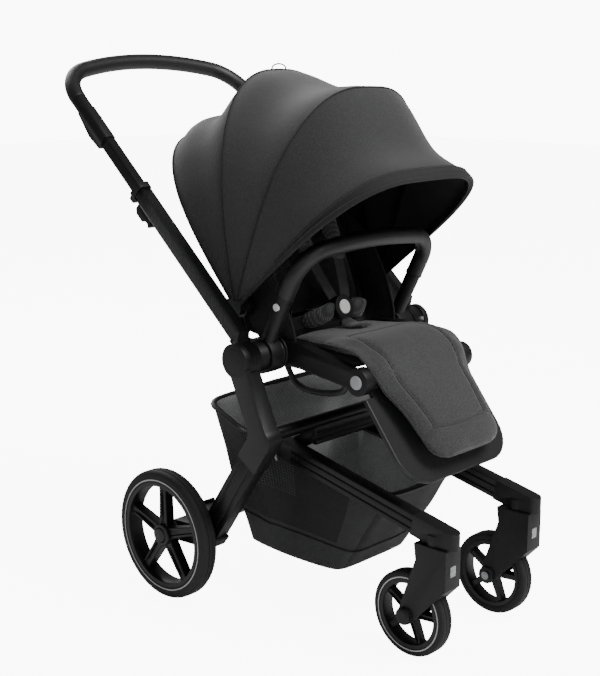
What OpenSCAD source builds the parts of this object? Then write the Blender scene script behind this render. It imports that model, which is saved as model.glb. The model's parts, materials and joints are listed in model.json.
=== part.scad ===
// Full-size folding baby stroller: four-wheel chassis with dog-leg side frames,
// telescopic push handle, reclining seat, folding canopy and hanging basket.
// The front faces -Y, +Z is up, and the floor is z = 0.

/* [Chassis] */
// Height of the folding hub's axis above the floor
hub_z = 509; // [495:1:525]
// Half of the width over the two hub discs
hub_half = 262; // [255:1:275]
// Radius of the hub disc on each leg
hub_r = 32; // [29:1:34]
// Thickness of the hub disc outside the push tube
disc_t = 13.5; // [10:0.5:18]
// Radius of the pin that every hub part turns on
hub_pin_r = 9; // [7:0.5:11]
// Width of the upper leg casting, seen from the side
upper_leg_w = 44; // [38:1:50]
// Width of the aluminium lower leg, seen from the side
lower_leg_w = 46; // [38:1:50]
// Thickness of both legs across the stroller
leg_t = 34; // [28:1:36]
// Radius of the crossbar that joins the two knees
crossbar_r = 13; // [10:1:15]

/* [Wheels] */
// Radius of a rear wheel
rear_wheel_r = 128.8; // [110:1:140]
// Width of a rear tyre
rear_wheel_w = 37; // [30:1:42]
// Radius of a front wheel
front_wheel_r = 79.3; // [70:1:82]
// Width of a front tyre
front_wheel_w = 30; // [24:1:34]
// Depth of tyre outside the pale side ring of a rear wheel
rear_tread_d = 19; // [14:1:24]
// Depth of tyre outside the pale side ring of a front wheel
front_tread_d = 12.5; // [9:0.5:15]
// Number of spokes on every wheel
spokes = 5; // [5:1:7]

/* [Front frame] */
// Distance of each front rail's middle plane from the centre
rail_x = 124; // [120:1:132]
// Width of a front rail
rail_w = 28; // [22:1:30]
// Height of a front rail
rail_h = 36; // [30:1:38]
// Radius of the pin that the rail folds on
rail_pin_r = 7; // [5:0.5:9]
// Radius of the swivel stem on each fork
stem_r = 9; // [7:0.5:11]
// Thickness of a fork's side plate
fork_plate = 4.5; // [3:0.5:6]
// Distance from the swivel stem back to the front axle
trail = 50; // [35:1:55]

/* [Push frame] */
// Width of the outer push tube across the stroller
tube_w = 28; // [24:1:30]
// Depth of the outer push tube
tube_d = 32; // [28:1:36]
// Wall of the outer push tube
tube_wall = 2.5; // [1.5:0.5:3.5]
// Length of the outer push tube above the hub
tube_len = 409; // [380:1:440]
// Length of bare inner tube between the tube's collar and the handle sleeve
handle_out = 124; // [115:1:150]
// Radius of the handle's soft grip
grip_r = 16; // [14:0.5:19]
// Inside corner radius line of the handle
handle_corner_r = 85; // [60:5:100]

/* [Seat] */
// Half of the seat frame's outer width
seat_half = 154; // [145:1:158]
// Thickness of each seat side rail
seat_rail_t = 24; // [18:1:28]
// Thickness of the seat cushion
seat_pad_t = 36; // [25:1:42]
// Thickness of the back cushion
back_pad_t = 34; // [25:1:40]
// Length of the backrest
back_len = 430; // [380:5:460]
// Radius of the back frame's tube
back_tube_r = 9; // [7:0.5:11]
// Length of the legrest below its pivot
legrest_len = 208; // [180:1:220]
// Half of the bumper bar's width
bumper_half = 183; // [178:1:188]
// Radius of the bumper bar's grip
bumper_r = 16; // [13:0.5:18]

/* [Canopy] */
// Reach of the rearmost canopy bow
bow_rear_reach = 405; // [380:1:420]
// Reach of the top canopy bow
bow_top_reach = 437; // [410:1:450]
// Reach of the middle canopy bow
bow_mid_reach = 425; // [400:1:440]
// Reach of the front canopy bow
bow_front_reach = 388; // [370:1:405]
// Thickness of the canopy fabric
canopy_t = 2.5; // [1.5:0.5:3]

/* [Basket] */
// Half of the basket's width between the front rails
basket_in = 103; // [90:1:104]
// Half of the basket's width at its rear rim
basket_out = 200; // [170:1:205]
// Thickness of the basket's wall
basket_wall = 3; // [2:0.5:5]

/* [Hidden] */
$fn = 48;
gap = 0.5;          // clearance between parts that move past each other
fit = 0.08;         // radial clearance of a pin in its bore
seat_gap = 0.3;     // clearance of a part that rests on another body
eps = 0.01;

// Places, as [y, z] in the side view
hub = [-81.7, hub_z];
leg_lean = 3.3;                       // the legs lean in towards the rear wheels
knee = hub + [-55, -141];
leg_foot = [18.3, 152];
rear_axle_at = [115.3, rear_wheel_r];
swivel_y = -441.7;
front_axle_at = [swivel_y + trail, front_wheel_r];
rail_pivot = [-77.7, 315];
rail_slope = 11.6;                    // the rails fall towards the front
crossbar_at = knee + [15, 0];
seat_pivot = [-279.7, 485];             // legrest joint
canopy_hinge = [-21.7, 590];

// Rear wheels stand just outside the axle housings
rear_wheel_x0 = 243.5;
rear_wheel_x1 = rear_wheel_x0 + rear_wheel_w;
housing_x0 = rear_wheel_x0 - 3.5 - 34;
housing_x1 = rear_wheel_x0 - 3.5;
axle_r = 11;
rear_pin_r = 8;
front_pin_r = 5;

// Layers along the hub axis, from the outside in
tube_x1 = hub_half - disc_t - gap;
tube_x0 = tube_x1 - tube_w;
tube_x = (tube_x0 + tube_x1) / 2;
adapter_x1 = tube_x0 - gap;
adapter_r = 28;

// Push tube frame: s runs up the tube, n towards its upper face
tube_angle = 41.8;
tube_off = 22;
tube_root = 35;
cavity_w = tube_w - 2 * tube_wall;
cavity_d = tube_d - 2 * tube_wall;
slide_gap = 0.3;
inner_w = cavity_w - 2 * slide_gap;
inner_d = cavity_d - 2 * slide_gap;
sleeve_len = 119;
sleeve_s0 = tube_len + handle_out;
grip_s0 = sleeve_s0 + sleeve_len;
handle_inside = 150;                  // inner tube held in the outer tube
handle_arc_r = 620;                   // gentle curve of the push handle's cross part

// Legrest frame: the board hangs at this angle below the horizontal
legrest_angle = 52;
board_t = 8;
legrest_pad_t = 34;

// Backrest frame
back_foot = [-41.7, 500];
back_angle = 67;

// Bumper bar frame
bumper_foot = [-87.7, 530];
bumper_angle = 117;
bumper_s1 = 208;
bumper_corner_r = 62;
bumper_arc_r = 900;
bumper_joint_s = 104;

// ---- helpers ----

// Extrudes a side-view outline, drawn as [y, z], from x0 to x1
module side_plate(x0, x1) {
    translate([x0, 0, 0]) rotate([90, 0, 90]) linear_extrude(x1 - x0) children();
}

// A side-view bar with round ends from a to b; the ends stand 0.15 proud of the flat sides
module bar(a, b, w) {
    d = b - a;
    translate(a) rotate(atan2(d[1], d[0])) translate([0, -w / 2]) square([norm(d), w]);
    translate(a) circle(w / 2 + 0.15);
    translate(b) circle(w / 2 + 0.15);
}

// A rounded rectangle centred on the origin
module rrect(w, h, r) {
    square([w - 2 * r, h], center = true);
    square([w, h - 2 * r], center = true);
    for (x = [-1, 1], y = [-1, 1]) translate([x * (w / 2 - r), y * (h / 2 - r)]) circle(r);
}

// A round rod from point a to point b
module rod(a, b, r) {
    d = b - a;
    translate(a) rotate([0, acos(d[2] / norm(d)), atan2(d[1], d[0])]) cylinder(h = norm(d), r = r);
}

// A round rod along X at a side-view place
module pin(at, x0, x1, r) {
    translate([x0, at[0], at[1]]) rotate([0, 90, 0]) cylinder(h = x1 - x0, r = r);
}

// Draws its child on the left side and again on the right
module pair() {
    children();
    mirror([1, 0, 0]) children();
}

module right() {
    mirror([1, 0, 0]) children();
}

// Local frame of the leg: leaning in about the hub's outer face
module lean() {
    translate([hub_half, 0, hub_z]) rotate([0, leg_lean, 0]) translate([-hub_half, 0, -hub_z]) children();
}

// Local frame in a side-view direction: X stays, Y is across (normal), Z runs along the angle
module along(at, angle) {
    translate([0, at[0], at[1]]) rotate([angle - 90, 0, 0]) children();
}

// Centre line of a U in the XZ plane, as [x, z, direction]: arms at x = +-w from z = s0,
// round corners, and a gently curved cross part that reaches z = s1
function u_path(w, s0, s1, rc, rb, turn_steps = 10, cross_steps = 14) =
    let (dx = w - rc,
         drop = sqrt(pow(rb - rc, 2) - dx * dx),
         sa = s1 - rb + drop,
         half = asin(dx / (rb - rc)),
         corner = [for (i = [0:turn_steps]) let (a = (90 - half) * i / turn_steps)
             [dx + rc * cos(a), sa + rc * sin(a), 90 + a]],
         cross = [for (i = [1:cross_steps - 1]) let (a = 90 - half + 2 * half * i / cross_steps)
             [rb * cos(a), sa - drop + rb * sin(a), 90 + a]])
    concat([[w, s0, 90]], corner, cross,
        [for (i = [turn_steps:-1:0]) [-corner[i][0], corner[i][1], 360 - corner[i][2]]],
        [[-w, s0, 270]]);

// Round bar swept along such a path
module u_bar(path, r, sides = 20) {
    skin([for (p = path) [for (j = [0:sides - 1]) let (a = 360 * j / sides)
        [p[0] + r * cos(a) * sin(p[2]), r * sin(a), p[1] - r * cos(a) * cos(p[2])]]]);
}

// Closed skin over a list of rings that all have the same number of points
module skin(rings) {
    n = len(rings[0]);
    m = len(rings);
    points = [for (ring = rings) each ring];
    sides = [for (i = [0:m - 2], j = [0:n - 1])
        [i * n + j, i * n + (j + 1) % n, (i + 1) * n + (j + 1) % n, (i + 1) * n + j]];
    tris = [for (q = sides) each [[q[0], q[1], q[2]], [q[0], q[2], q[3]]]];
    first = [for (j = [n - 1:-1:0]) j];
    last = [for (j = [0:n - 1]) (m - 1) * n + j];
    polyhedron(points = points, faces = concat(tris, [first], [last]), convexity = 8);
}

// ---- legs, hubs and rear axle ----

knee_dir = (leg_foot - knee) / norm(leg_foot - knee);
seam_at = knee + 66 * knee_dir;       // where the aluminium tube leaves the casting

module upper_leg_outline() {
    bar(hub, knee, upper_leg_w);
    translate(knee) circle(25.15);
    translate(knee) rotate(atan2(knee_dir[1], knee_dir[0])) translate([0, -25]) square([66, 50]);
}

module upper_leg() {
    difference() {
        union() {
            pin(hub, hub_half - disc_t, hub_half, hub_r);
            difference() {
                lean() side_plate(hub_half - leg_t, hub_half) upper_leg_outline();
                pin(hub, hub_half - 80, tube_x1 + gap, hub_r + 4);
                translate([hub_half, -300, 0]) cube([30, 400, 700]);
            }
        }
        pin(hub, hub_half - 80, hub_half - 5, hub_pin_r);
    }
}

module lower_leg() {
    groove = 3;
    lean() difference() {
        side_plate(hub_half - leg_t + 2, hub_half - 2)
            translate(seam_at) rotate(atan2(knee_dir[1], knee_dir[0]))
                translate([0, -lower_leg_w / 2]) square([norm(leg_foot - seam_at), lower_leg_w]);
        for (k = [-1, 1]) side_plate(hub_half - 4, hub_half)
            translate(seam_at) rotate(atan2(knee_dir[1], knee_dir[0]))
                translate([-1, k * lower_leg_w / 4 - groove / 2]) square([400, groove]);
    }
}

module upper_legs() { color("#1b1c1d") pair() upper_leg(); }
module lower_legs() { color("#2b2c2e") pair() lower_leg(); }

// Plastic housing at the foot of each leg, which carries the rear axle
module axle_housing() {
    foot_w = lower_leg_w + 6;
    difference() {
        side_plate(housing_x0, housing_x1) {
            bar(leg_foot - knee_dir * 14, leg_foot + knee_dir * 6, foot_w);
            bar(leg_foot + [6, 152 - 168], rear_axle_at, 42);
        }
        lean() side_plate(housing_x0 - 20, hub_half + 20)
            translate(leg_foot - knee_dir * 200) rotate(atan2(knee_dir[1], knee_dir[0]))
                translate([0, -60]) square([200, 120]);
        pin(rear_axle_at, housing_x0 - 1, housing_x1 + 1, rear_pin_r);
    }
}

module axle_housings() { color("#17181a") pair() axle_housing(); }

module rear_axle() {
    color("#3a3b3d") union() {
        pin(rear_axle_at, -housing_x0, housing_x0, axle_r);
        pin(rear_axle_at, -rear_wheel_x1 + 11, rear_wheel_x1 - 11, rear_pin_r);
    }
}

module hub_pins() {
    color("#7c7e80") pair() pin(hub, seat_half - 14, hub_half - 5, hub_pin_r);
}

// ---- crossbar and front rail pivots ----

module leg_solid() {
    lean() side_plate(hub_half - leg_t, hub_half + 20) upper_leg_outline();
}

module crossbar() {
    color("#202123") difference() {
        pin(crossbar_at, -hub_half, hub_half, crossbar_r);
        pair() leg_solid();
        pair() translate([hub_half - leg_t - 6, -300, 0]) mirror([1, 0, 0]) translate([-40, 0, 0]) cube([40, 400, 700]);
    }
}

bracket_x1 = rail_x - rail_w / 2 - gap;
bracket_x0 = bracket_x1 - 10;

module crossbar_beam() {
    color("#262729") difference() {
        union() {
            side_plate(-bracket_x0, bracket_x0) difference() {
                translate(crossbar_at + [-11, -41]) square([22, 41]);
                for (k = [0, 1]) translate(crossbar_at + [-12, -34 + 9 * k]) square([3, 4]);
            }
            pair() side_plate(bracket_x0, bracket_x1) {
                bar(rail_pivot, crossbar_at + [0, -26], 26);
                translate(crossbar_at + [-12, -27]) square([24, 19]);
            }
            // pins that the front rails fold on
            pair() pin(rail_pivot, bracket_x0, rail_x + rail_w / 2 - 3, rail_pin_r);
        }
        pin(crossbar_at, -200, 200, crossbar_r + 0.15);
    }
}

// ---- front rails ----

rail_dir = [-cos(rail_slope), -sin(rail_slope)];
rail_cap_s0 = 326;
rail_nose_s = (swivel_y - 31 - rail_pivot[0]) / rail_dir[0];

module rail() {
    groove_h = 4;
    groove_d = 2.5;
    difference() {
        side_plate(rail_x - rail_w / 2, rail_x + rail_w / 2) {
            translate(rail_pivot) circle(rail_h / 2);
            translate(rail_pivot) rotate(180 + rail_slope) translate([0, -rail_h / 2]) square([rail_cap_s0, rail_h]);
        }
        along(rail_pivot, 180 + rail_slope) for (k = [-1, 1], g = [-1, 1])
            translate([rail_x + k * rail_w / 2 - groove_d, g * 7 - groove_h / 2, 24])
                cube([2 * groove_d, groove_h, rail_cap_s0]);
        pin(rail_pivot, rail_x - rail_w, rail_x + rail_w / 2 - 3, rail_pin_r + fit);
    }
}

module rail_left() { color("#2b2c2e") rail(); }
module rail_right() { color("#2b2c2e") right() rail(); }

// Plastic end of a rail, with the swivel's bearing bore underneath
crown_top = 220.5;
module rail_cap() {
    cap_w = rail_w + 2;
    nose = rail_pivot + rail_dir * rail_nose_s;
    difference() {
        union() {
            intersection() {
                side_plate(rail_x - cap_w / 2, rail_x + cap_w / 2)
                    translate(rail_pivot + rail_dir * rail_cap_s0) rotate(180 + rail_slope)
                        translate([0, -rail_h / 2 - 1]) square([rail_nose_s + 20 - rail_cap_s0, rail_h + 2]);
                union() {
                    translate([rail_x, nose[0], crown_top + gap]) cylinder(h = 200, r = cap_w / 2);
                    translate([rail_x - cap_w / 2, nose[0], crown_top + gap]) cube([cap_w, 140, 200]);
                }
            }
            translate([rail_x, swivel_y, crown_top + gap]) cylinder(h = 20, r = stem_r + 9);
        }
        translate([rail_x, swivel_y, crown_top - 5]) cylinder(h = 28, r = stem_r + fit);
    }
}

module rail_caps() { color("#17181a") pair() rail_cap(); }

// ---- casters ----

fork_x0 = rail_x - front_wheel_w / 2 - 1.5 - fork_plate;
fork_x1 = rail_x + front_wheel_w / 2 + 1.5 + fork_plate;
axle_boss_r = 16;
axle_boss_t = 6;
fork_front = swivel_y - 36;

module fork() {
    a = front_axle_at;
    difference() {
        union() {
            side_plate(fork_x0, fork_x1) {
                polygon([[swivel_y + 34, crown_top], [swivel_y + 30, crown_top - 30],
                    [a[0] + 16.5, a[1] + 4], [a[0] - 11, a[1] - 13],
                    [fork_front, crown_top - 72], [fork_front, crown_top]]);
                translate(a) circle(17);
            }
            pin(a, fork_x0 - axle_boss_t, fork_x0 + eps, axle_boss_r);
            pin(a, fork_x1 - eps, fork_x1 + axle_boss_t, axle_boss_r);
            translate([rail_x, swivel_y, crown_top - 5]) cylinder(h = 27, r = stem_r);
        }
        pin(a, fork_x0 + fork_plate, fork_x1 - fork_plate, front_wheel_r + 4);
        translate([fork_x0 + fork_plate, a[0] - 16, 0]) cube([fork_x1 - fork_x0 - 2 * fork_plate, 90, a[1] + 70]);
        pin(a, 0, 2 * rail_x, front_pin_r);
    }
}

module fork_left() { color("#1b1c1d") fork(); }
module fork_right() { color("#1b1c1d") right() fork(); }

module front_axle() {
    pin(front_axle_at, fork_x0 - axle_boss_t, fork_x1 + axle_boss_t, front_pin_r);
    pin(front_axle_at, fork_x1 + axle_boss_t, fork_x1 + axle_boss_t + 3, 8);
    pin(front_axle_at, fork_x0 - axle_boss_t - 3, fork_x0 - axle_boss_t, 8);
}

module front_axle_left() { color("#55575a") front_axle(); }
module front_axle_right() { color("#55575a") right() front_axle(); }

// ---- wheels ----

// Spoked rim about the X axis at the origin, from x = 0 to x = w
module rim(r, w, bore, hub_radius, cap) {
    barrel = 7;
    difference() {
        union() {
            rotate([0, 90, 0]) rotate_extrude($fn = 96) translate([r - barrel, 1]) square([barrel, w - 2]);
            rotate([0, 90, 0]) cylinder(h = w, r = hub_radius);
            for (k = [0:spokes - 1]) rotate([k * 360 / spokes, 0, 0])
                translate([w / 2 - w * 0.3, 0, 0]) rotate([90, 0, 90]) linear_extrude(w * 0.6)
                    polygon([[-r * 0.1, hub_radius * 0.72], [r * 0.1, hub_radius * 0.72],
                        [r * 0.085, r - barrel / 2], [-r * 0.085, r - barrel / 2]]);
            if (cap > 0) translate([w, 0, 0]) rotate([0, 90, 0]) cylinder(h = cap, r = hub_radius - 3);
        }
        translate([-1, 0, 0]) rotate([0, 90, 0]) cylinder(h = cap > 0 ? w - 9 : w + 2, r = bore);
    }
}

// Tyre about the X axis with a crowned tread, from x = 0 to x = w
module tyre(r, w, inner) {
    shoulder = min(w * 0.32, (r - inner) / 2 - 0.2);
    rotate([0, 90, 0]) rotate_extrude($fn = 96) union() {
        translate([inner, 0]) square([r - inner - shoulder, w]);
        translate([r - shoulder, shoulder]) square([shoulder, w - 2 * shoulder]);
        for (z = [shoulder, w - shoulder]) translate([r - shoulder, z]) circle(shoulder);
    }
}

front_rim_r = front_wheel_r - front_tread_d - 2.5;
rear_rim_r = rear_wheel_r - rear_tread_d - 4;

module at_front_wheel() {
    translate([rail_x - front_wheel_w / 2, front_axle_at[0], front_axle_at[1]]) children();
}

module at_rear_wheel() {
    translate([rear_wheel_x0, rear_axle_at[0], rear_axle_at[1]]) children();
}

module front_rim() { at_front_wheel() rim(front_rim_r, front_wheel_w, front_pin_r + fit, 13, 0); }
module front_tyre() { at_front_wheel() tyre(front_wheel_r, front_wheel_w, front_rim_r + seat_gap); }
module rear_rim() { at_rear_wheel() rim(rear_rim_r, rear_wheel_w, rear_pin_r + fit, 22, 2); }
module rear_tyre() { at_rear_wheel() tyre(rear_wheel_r, rear_wheel_w, rear_rim_r + seat_gap); }

module front_rim_left() { color("#1e1f20") front_rim(); }
module front_rim_right() { color("#1e1f20") right() front_rim(); }
module front_tyre_left() { color("#2c2c2c") front_tyre(); }
module front_tyre_right() { color("#2c2c2c") right() front_tyre(); }
module rear_rim_left() { color("#1e1f20") rear_rim(); }
module rear_rim_right() { color("#1e1f20") right() rear_rim(); }
module rear_tyre_left() { color("#2c2c2c") rear_tyre(); }
module rear_tyre_right() { color("#2c2c2c") right() rear_tyre(); }

// ---- parking brake ----

module brake_pedal() {
    color("#26282b") difference() {
        union() {
            pin(rear_axle_at, -150, -90, axle_r + 5);
            translate([-150, rear_axle_at[0] + 8, rear_axle_at[1] + 2]) cube([60, 48, 7]);
            translate([-150, rear_axle_at[0] + 50, rear_axle_at[1] + 2]) cube([60, 6, 13]);
        }
        pin(rear_axle_at, -151, -89, axle_r + fit);
    }
}

// ---- basket ----

// Six-sided block between two rectangles; the upper one may slope from z_front to z_rear
module tub(lo, z_lo, hi, z_front, z_rear) {
    polyhedron(points = [
        [-lo[0], lo[1], z_lo], [lo[0], lo[1], z_lo], [lo[0], lo[2], z_lo], [-lo[0], lo[2], z_lo],
        [-hi[0], hi[1], z_front], [hi[0], hi[1], z_front], [hi[0], hi[2], z_rear], [-hi[0], hi[2], z_rear]],
        faces = [[0, 1, 2], [0, 2, 3], [4, 6, 5], [4, 7, 6], [0, 5, 1], [0, 4, 5],
            [1, 6, 2], [1, 5, 6], [2, 7, 3], [2, 6, 7], [3, 4, 0], [3, 7, 4]]);
}

basket_floor = 86;
basket_rear = 68.3;
basket_rear_low = 56.3;
basket_nose = -316.7;
basket_nose_low = -199.7;
basket_step = -47.7;                    // rails fold down just in front of this plane
basket_rim_rear = 402;
basket_rim_step = 354;
basket_rim_low = 298;
basket_rim_front = 270;

module basket_tubs(w, lift) {
    tub([basket_in - w, basket_step + w, basket_rear_low - w], basket_floor + w,
        [basket_out - w, basket_step + w, basket_rear - w], basket_rim_step + lift, basket_rim_rear + lift);
}

module basket() {
    w = basket_wall;
    color("#2a2b2c") union() {
        difference() {
            union() {
                basket_tubs(0, 0);
                tub([basket_in, basket_nose_low, basket_step + 1], basket_floor,
                    [basket_in, basket_nose, basket_step + 1], basket_rim_front, basket_rim_low);
            }
            basket_tubs(w, 2);
            tub([basket_in - w, basket_nose_low + w, basket_step + 2 * w], basket_floor + w,
                [basket_in - w, basket_nose + w, basket_step + 2 * w], basket_rim_front + 2, basket_rim_low + 2);
            translate([-basket_in + w, basket_step - 1, basket_floor + w])
                cube([2 * (basket_in - w), 3 * w, basket_rim_low - basket_floor]);
        }
        // straps that carry the basket on the leg castings
        pair() difference() {
            translate([basket_out - 11, knee[0] + 6, knee[1] - 32]) cube([60, basket_step + 3 - knee[0] - 6, 14]);
            lean() translate([hub_half - leg_t - seat_gap, -300, 0]) cube([100, 500, 800]);
            basket_tubs(w, 2);
        }
    }
}

// ---- push frame ----

// Frame of the push tube: origin at the foot of its centre line, Z up the tube, Y to its lower face
module on_tube() {
    translate([tube_x, 0, 0]) along(hub, tube_angle) translate([0, -tube_off, 0]) children();
}

module push_tube() {
    difference() {
        union() {
            pin(hub, tube_x0, tube_x1, 30);
            translate([-tube_x, 0, 0]) on_tube() side_plate(tube_x0, tube_x1) polygon([
                [tube_d / 2, 12], [tube_d / 2, tube_root + 6], [-tube_d / 2, tube_root],
                [4, 24 - eps], [tube_off - 4, 10]]);
            on_tube() translate([0, 0, tube_root]) linear_extrude(tube_len - 14 - tube_root) rrect(tube_w, tube_d, 7);
        }
        on_tube() translate([0, 0, tube_root + 25]) linear_extrude(tube_len) rrect(cavity_w, cavity_d, 5);
        pin(hub, tube_x0 - 1, tube_x1 + 1, hub_pin_r + fit);
    }
}

module push_tube_left() { color("#28292b") push_tube(); }
module push_tube_right() { color("#28292b") right() push_tube(); }

// Plastic collar on the end of the outer tube, with a guide for the folding trigger
module tube_collar() {
    on_tube() translate([0, 0, tube_len - 14]) difference() {
        linear_extrude(14) union() {
            rrect(tube_w + 4, tube_d + 4, 8);
            translate([-10, tube_d / 2 - 4]) square([20, 16]);
        }
        translate([0, 0, -1]) linear_extrude(20) rrect(cavity_w, cavity_d, 5);
    }
}

module tube_collars() { color("#17181a") pair() tube_collar(); }

// Finger trigger that slides up the tube to release the fold
trigger_travel = 12;
module fold_trigger() {
    on_tube() translate([0, tube_d / 2 + seat_gap, tube_len - 14 - trigger_travel - gap - 46]) difference() {
        rotate([90, 0, 90]) translate([0, 0, -10]) linear_extrude(20)
            polygon([[0, 0], [7, -6], [15, -4], [19, 8], [19, 38], [12, 46], [0, 46]]);
        translate([0, 22, 6]) rotate([0, 90, 0]) cylinder(h = 40, r = 11, center = true);
    }
}

module fold_trigger_left() { color("#101112") fold_trigger(); }
module fold_trigger_right() { color("#101112") right() fold_trigger(); }

// ---- telescopic handle ----

handle_top = 762;                     // farthest point of the handle's centre line up the tube

module handle_tubes() {
    color("#34363a") pair() on_tube() translate([0, 0, sleeve_s0 - handle_out - handle_inside])
        linear_extrude(handle_inside + handle_out + sleeve_len) rrect(inner_w, inner_d, 5);
}

module handle_grip() {
    color("#1a1a1b") along(hub, tube_angle) translate([0, -tube_off, 0])
        u_bar(u_path(tube_x, grip_s0, handle_top, handle_corner_r, handle_arc_r), grip_r);
}

// Sleeve at each end of the grip, deeper on its lower side, with a pocket for the length button
module handle_sleeve() {
    on_tube() translate([0, 0, sleeve_s0]) difference() {
        union() {
            cylinder(h = sleeve_len, r = grip_r - 0.5);
            linear_extrude(sleeve_len * 0.7) rrect(27, 31, 8);
            rotate([90, 0, 90]) translate([0, 0, -11]) linear_extrude(22)
                polygon([[8, 0], [20, 2], [24, 40], [13, 95], [8, 95]]);
        }
        translate([0, 0, -1]) linear_extrude(sleeve_len + 2) rrect(inner_w, inner_d, 5);
        translate([-20, -3, 62]) rotate([0, 90, 0]) cylinder(h = 12, r = 5 + fit);
    }
}

module handle_sleeves() { color("#141516") pair() handle_sleeve(); }

module handle_button() {
    on_tube() translate([-18.5, -3, sleeve_s0 + 62]) rotate([0, 90, 0]) cylinder(h = 4.2, r = 5);
}

module handle_button_left() { color("#8f9194") handle_button(); }
module handle_button_right() { color("#8f9194") right() handle_button(); }

// ---- seat frame ----

module seat_adapters() {
    color("#1d1e20") pair() difference() {
        union() {
            pin(hub, seat_half, adapter_x1, adapter_r);
            pin(hub, seat_half, seat_half + 5, adapter_r + 5);
        }
        pin(hub, seat_half - 1, adapter_x1 + 1, hub_pin_r + fit);
    }
}

rail_front_h = 32;
pivot_boss_r = 25;

module seat_frame() {
    color("#202123") pair() difference() {
        union() {
            side_plate(seat_half - seat_rail_t, seat_half) {
                bar(hub, hub + [-60, 0], 46);
                polygon([hub + [-60, 23], seat_pivot + [0, rail_front_h / 2],
                    seat_pivot + [0, -rail_front_h / 2], hub + [-60, -23]]);
                translate(seat_pivot) circle(pivot_boss_r);
            }
            pin(seat_pivot, seat_half - seat_rail_t - 18, seat_half - 12, 8);
        }
        pin(seat_pivot, seat_half - 7, seat_half + 1, button_r + fit);
        pin(hub, seat_half - 30, seat_half - 14, hub_pin_r + fit);
        pin(hub, seat_half - 14, seat_half + 1, hub_pin_r + fit);
    }
}

button_r = 12.5;

module seat_hoop() {
    t = 12;
    x1 = seat_half - seat_rail_t;
    p = [hub + [4, -27], hub + [-25, -63], hub + [-80, -69], hub + [-137, -57], seat_pivot + [45, -6]];
    color("#141516") pair() side_plate(x1 - t, x1) {
        for (i = [0:3]) bar(p[i], p[i + 1], t);
    }
}

base_top = 511;
module seat_base() {
    translate([-seat_half + seat_rail_t + gap, hub[0] - 176, base_top - 8])
        cube([2 * (seat_half - seat_rail_t - gap), 206, 8]);
}

pad_front = seat_pivot[0] + 1;
pad_rear = hub[0] + 26;
pad_dip = [pad_rear - 16, base_top + 22];
pad_crest = [pad_front + 137, base_top + seat_pad_t - 8];

// Height of the cushion's top between its dip and its crest
function pad_top(y) = lookup(y, [[pad_crest[0], pad_crest[1]], [pad_dip[0], pad_dip[1]]]);

module seat_pad() {
    x = seat_half - 6;
    color("#4b4c4d") difference() {
        side_plate(-x, x) polygon([[pad_front, base_top + 20], [pad_front + 14, base_top + seat_gap],
            [pad_rear, base_top + seat_gap], [pad_rear + 4, base_top + 18], pad_dip, pad_crest,
            [pad_front + 26, base_top + seat_pad_t], [pad_front, base_top + seat_pad_t - 6]]);
        // the cushion's edges lie on the side rails
        pair() side_plate(seat_half - seat_rail_t - gap, seat_half + 1) {
            polygon([hub + [60, 23 + seat_gap], hub + [-60, 23 + seat_gap], seat_pivot + [0, 16 + seat_gap],
                seat_pivot + [-60, -60], hub + [60, -60]]);
            translate(hub + [-60, 0]) circle(23 + seat_gap);
        }
        pair() pin(seat_pivot, seat_half - seat_rail_t - gap, seat_half + 1, pivot_boss_r + seat_gap);
    }
}

// ---- backrest ----

// Frame of the backrest: Z runs up it and Y points to the rear
module on_back() {
    along(back_foot, back_angle) children();
}

back_tube_x = 172;
back_tube_n = back_tube_r + 3.4;

module back_frame() {
    color("#1d1e20") on_back() translate([0, back_tube_n, 0])
        u_bar(u_path(back_tube_x, 12, back_len - 14, 110, 1600), back_tube_r);
}

// Straight lower part of the back tube on the left side
module back_tube() {
    on_back() translate([back_tube_x, back_tube_n, 0]) cylinder(h = 250, r = back_tube_r + fit);
}

// Plates that hold the back tube on the hub barrels
module back_brackets() {
    color("#1d1e20") difference() {
        pair() side_plate(seat_half + 5.3, bumper_ring_x0 - gap)
            translate(hub + [18, -6]) square([64, 24]);
        pair() pin(hub, seat_half, bumper_ring_x0, adapter_r + fit);
        pair() back_tube();
    }
}

module seat_shell() {
    color("#161718") union() {
        seat_base();
        back_board();
    }
}

module back_board() {
    x = 169;
    on_back() translate([0, 3, 48]) rotate([90, 0, 0]) linear_extrude(6) {
        difference() {
            translate([-x, 0]) square([2 * x, back_len - 134]);
            // room for the canopy's mounts
            for (k = [-1, 1]) translate([k * 170.5 - 5, 24]) square([10, 52]);
        }
        translate([-x + 60, 0]) square([2 * x - 120, back_len - 74]);
        for (k = [-1, 1]) translate([k * (x - 60), back_len - 134]) circle(60);
    }
}

module back_pad() {
    x = 140;
    color("#3f4041") on_back() translate([0, -3 - seat_gap, 50]) rotate([90, 0, 0]) linear_extrude(back_pad_t)
        union() {
            translate([-x, 0]) square([2 * x, back_len - 120]);
            translate([-x + 50, 0]) square([2 * x - 100, back_len - 70]);
            for (k = [-1, 1]) translate([k * (x - 50), back_len - 120]) circle(50);
        }
}

// ---- harness ----

buckle_at = [0, pad_rear - 49, base_top + 63];
buckle_tilt = 72;

module buckle_outline(more) {
    translate(buckle_at) rotate([buckle_tilt, 0, 0]) {
        translate([0, 0, -9 - more]) cylinder(h = 18 + 2 * more, r = 24 + more);
        translate([-19 - more, -22 - more, -8 - more]) cube([38 + 2 * more, 20, 16 + 2 * more]);
    }
}

module harness() {
    b = buckle_at;
    strap_z = pad_top(b[1]) + seat_gap;
    color("#202122") difference() {
        union() {
            // crotch strap
            translate([-14, b[1] - 1.5, strap_z]) cube([28, 3, b[2] - strap_z]);
            pair() {
                // waist strap with its pad
                rod([15, b[1] + 2, b[2]], [95, b[1] + 40, b[2] - 8], 9);
                // shoulder strap
                rod([14, b[1] + 8, b[2] + 10], [46, back_foot[0] + 36, back_foot[1] + 205], 8);
            }
        }
        buckle_outline(seat_gap);
    }
}

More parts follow.
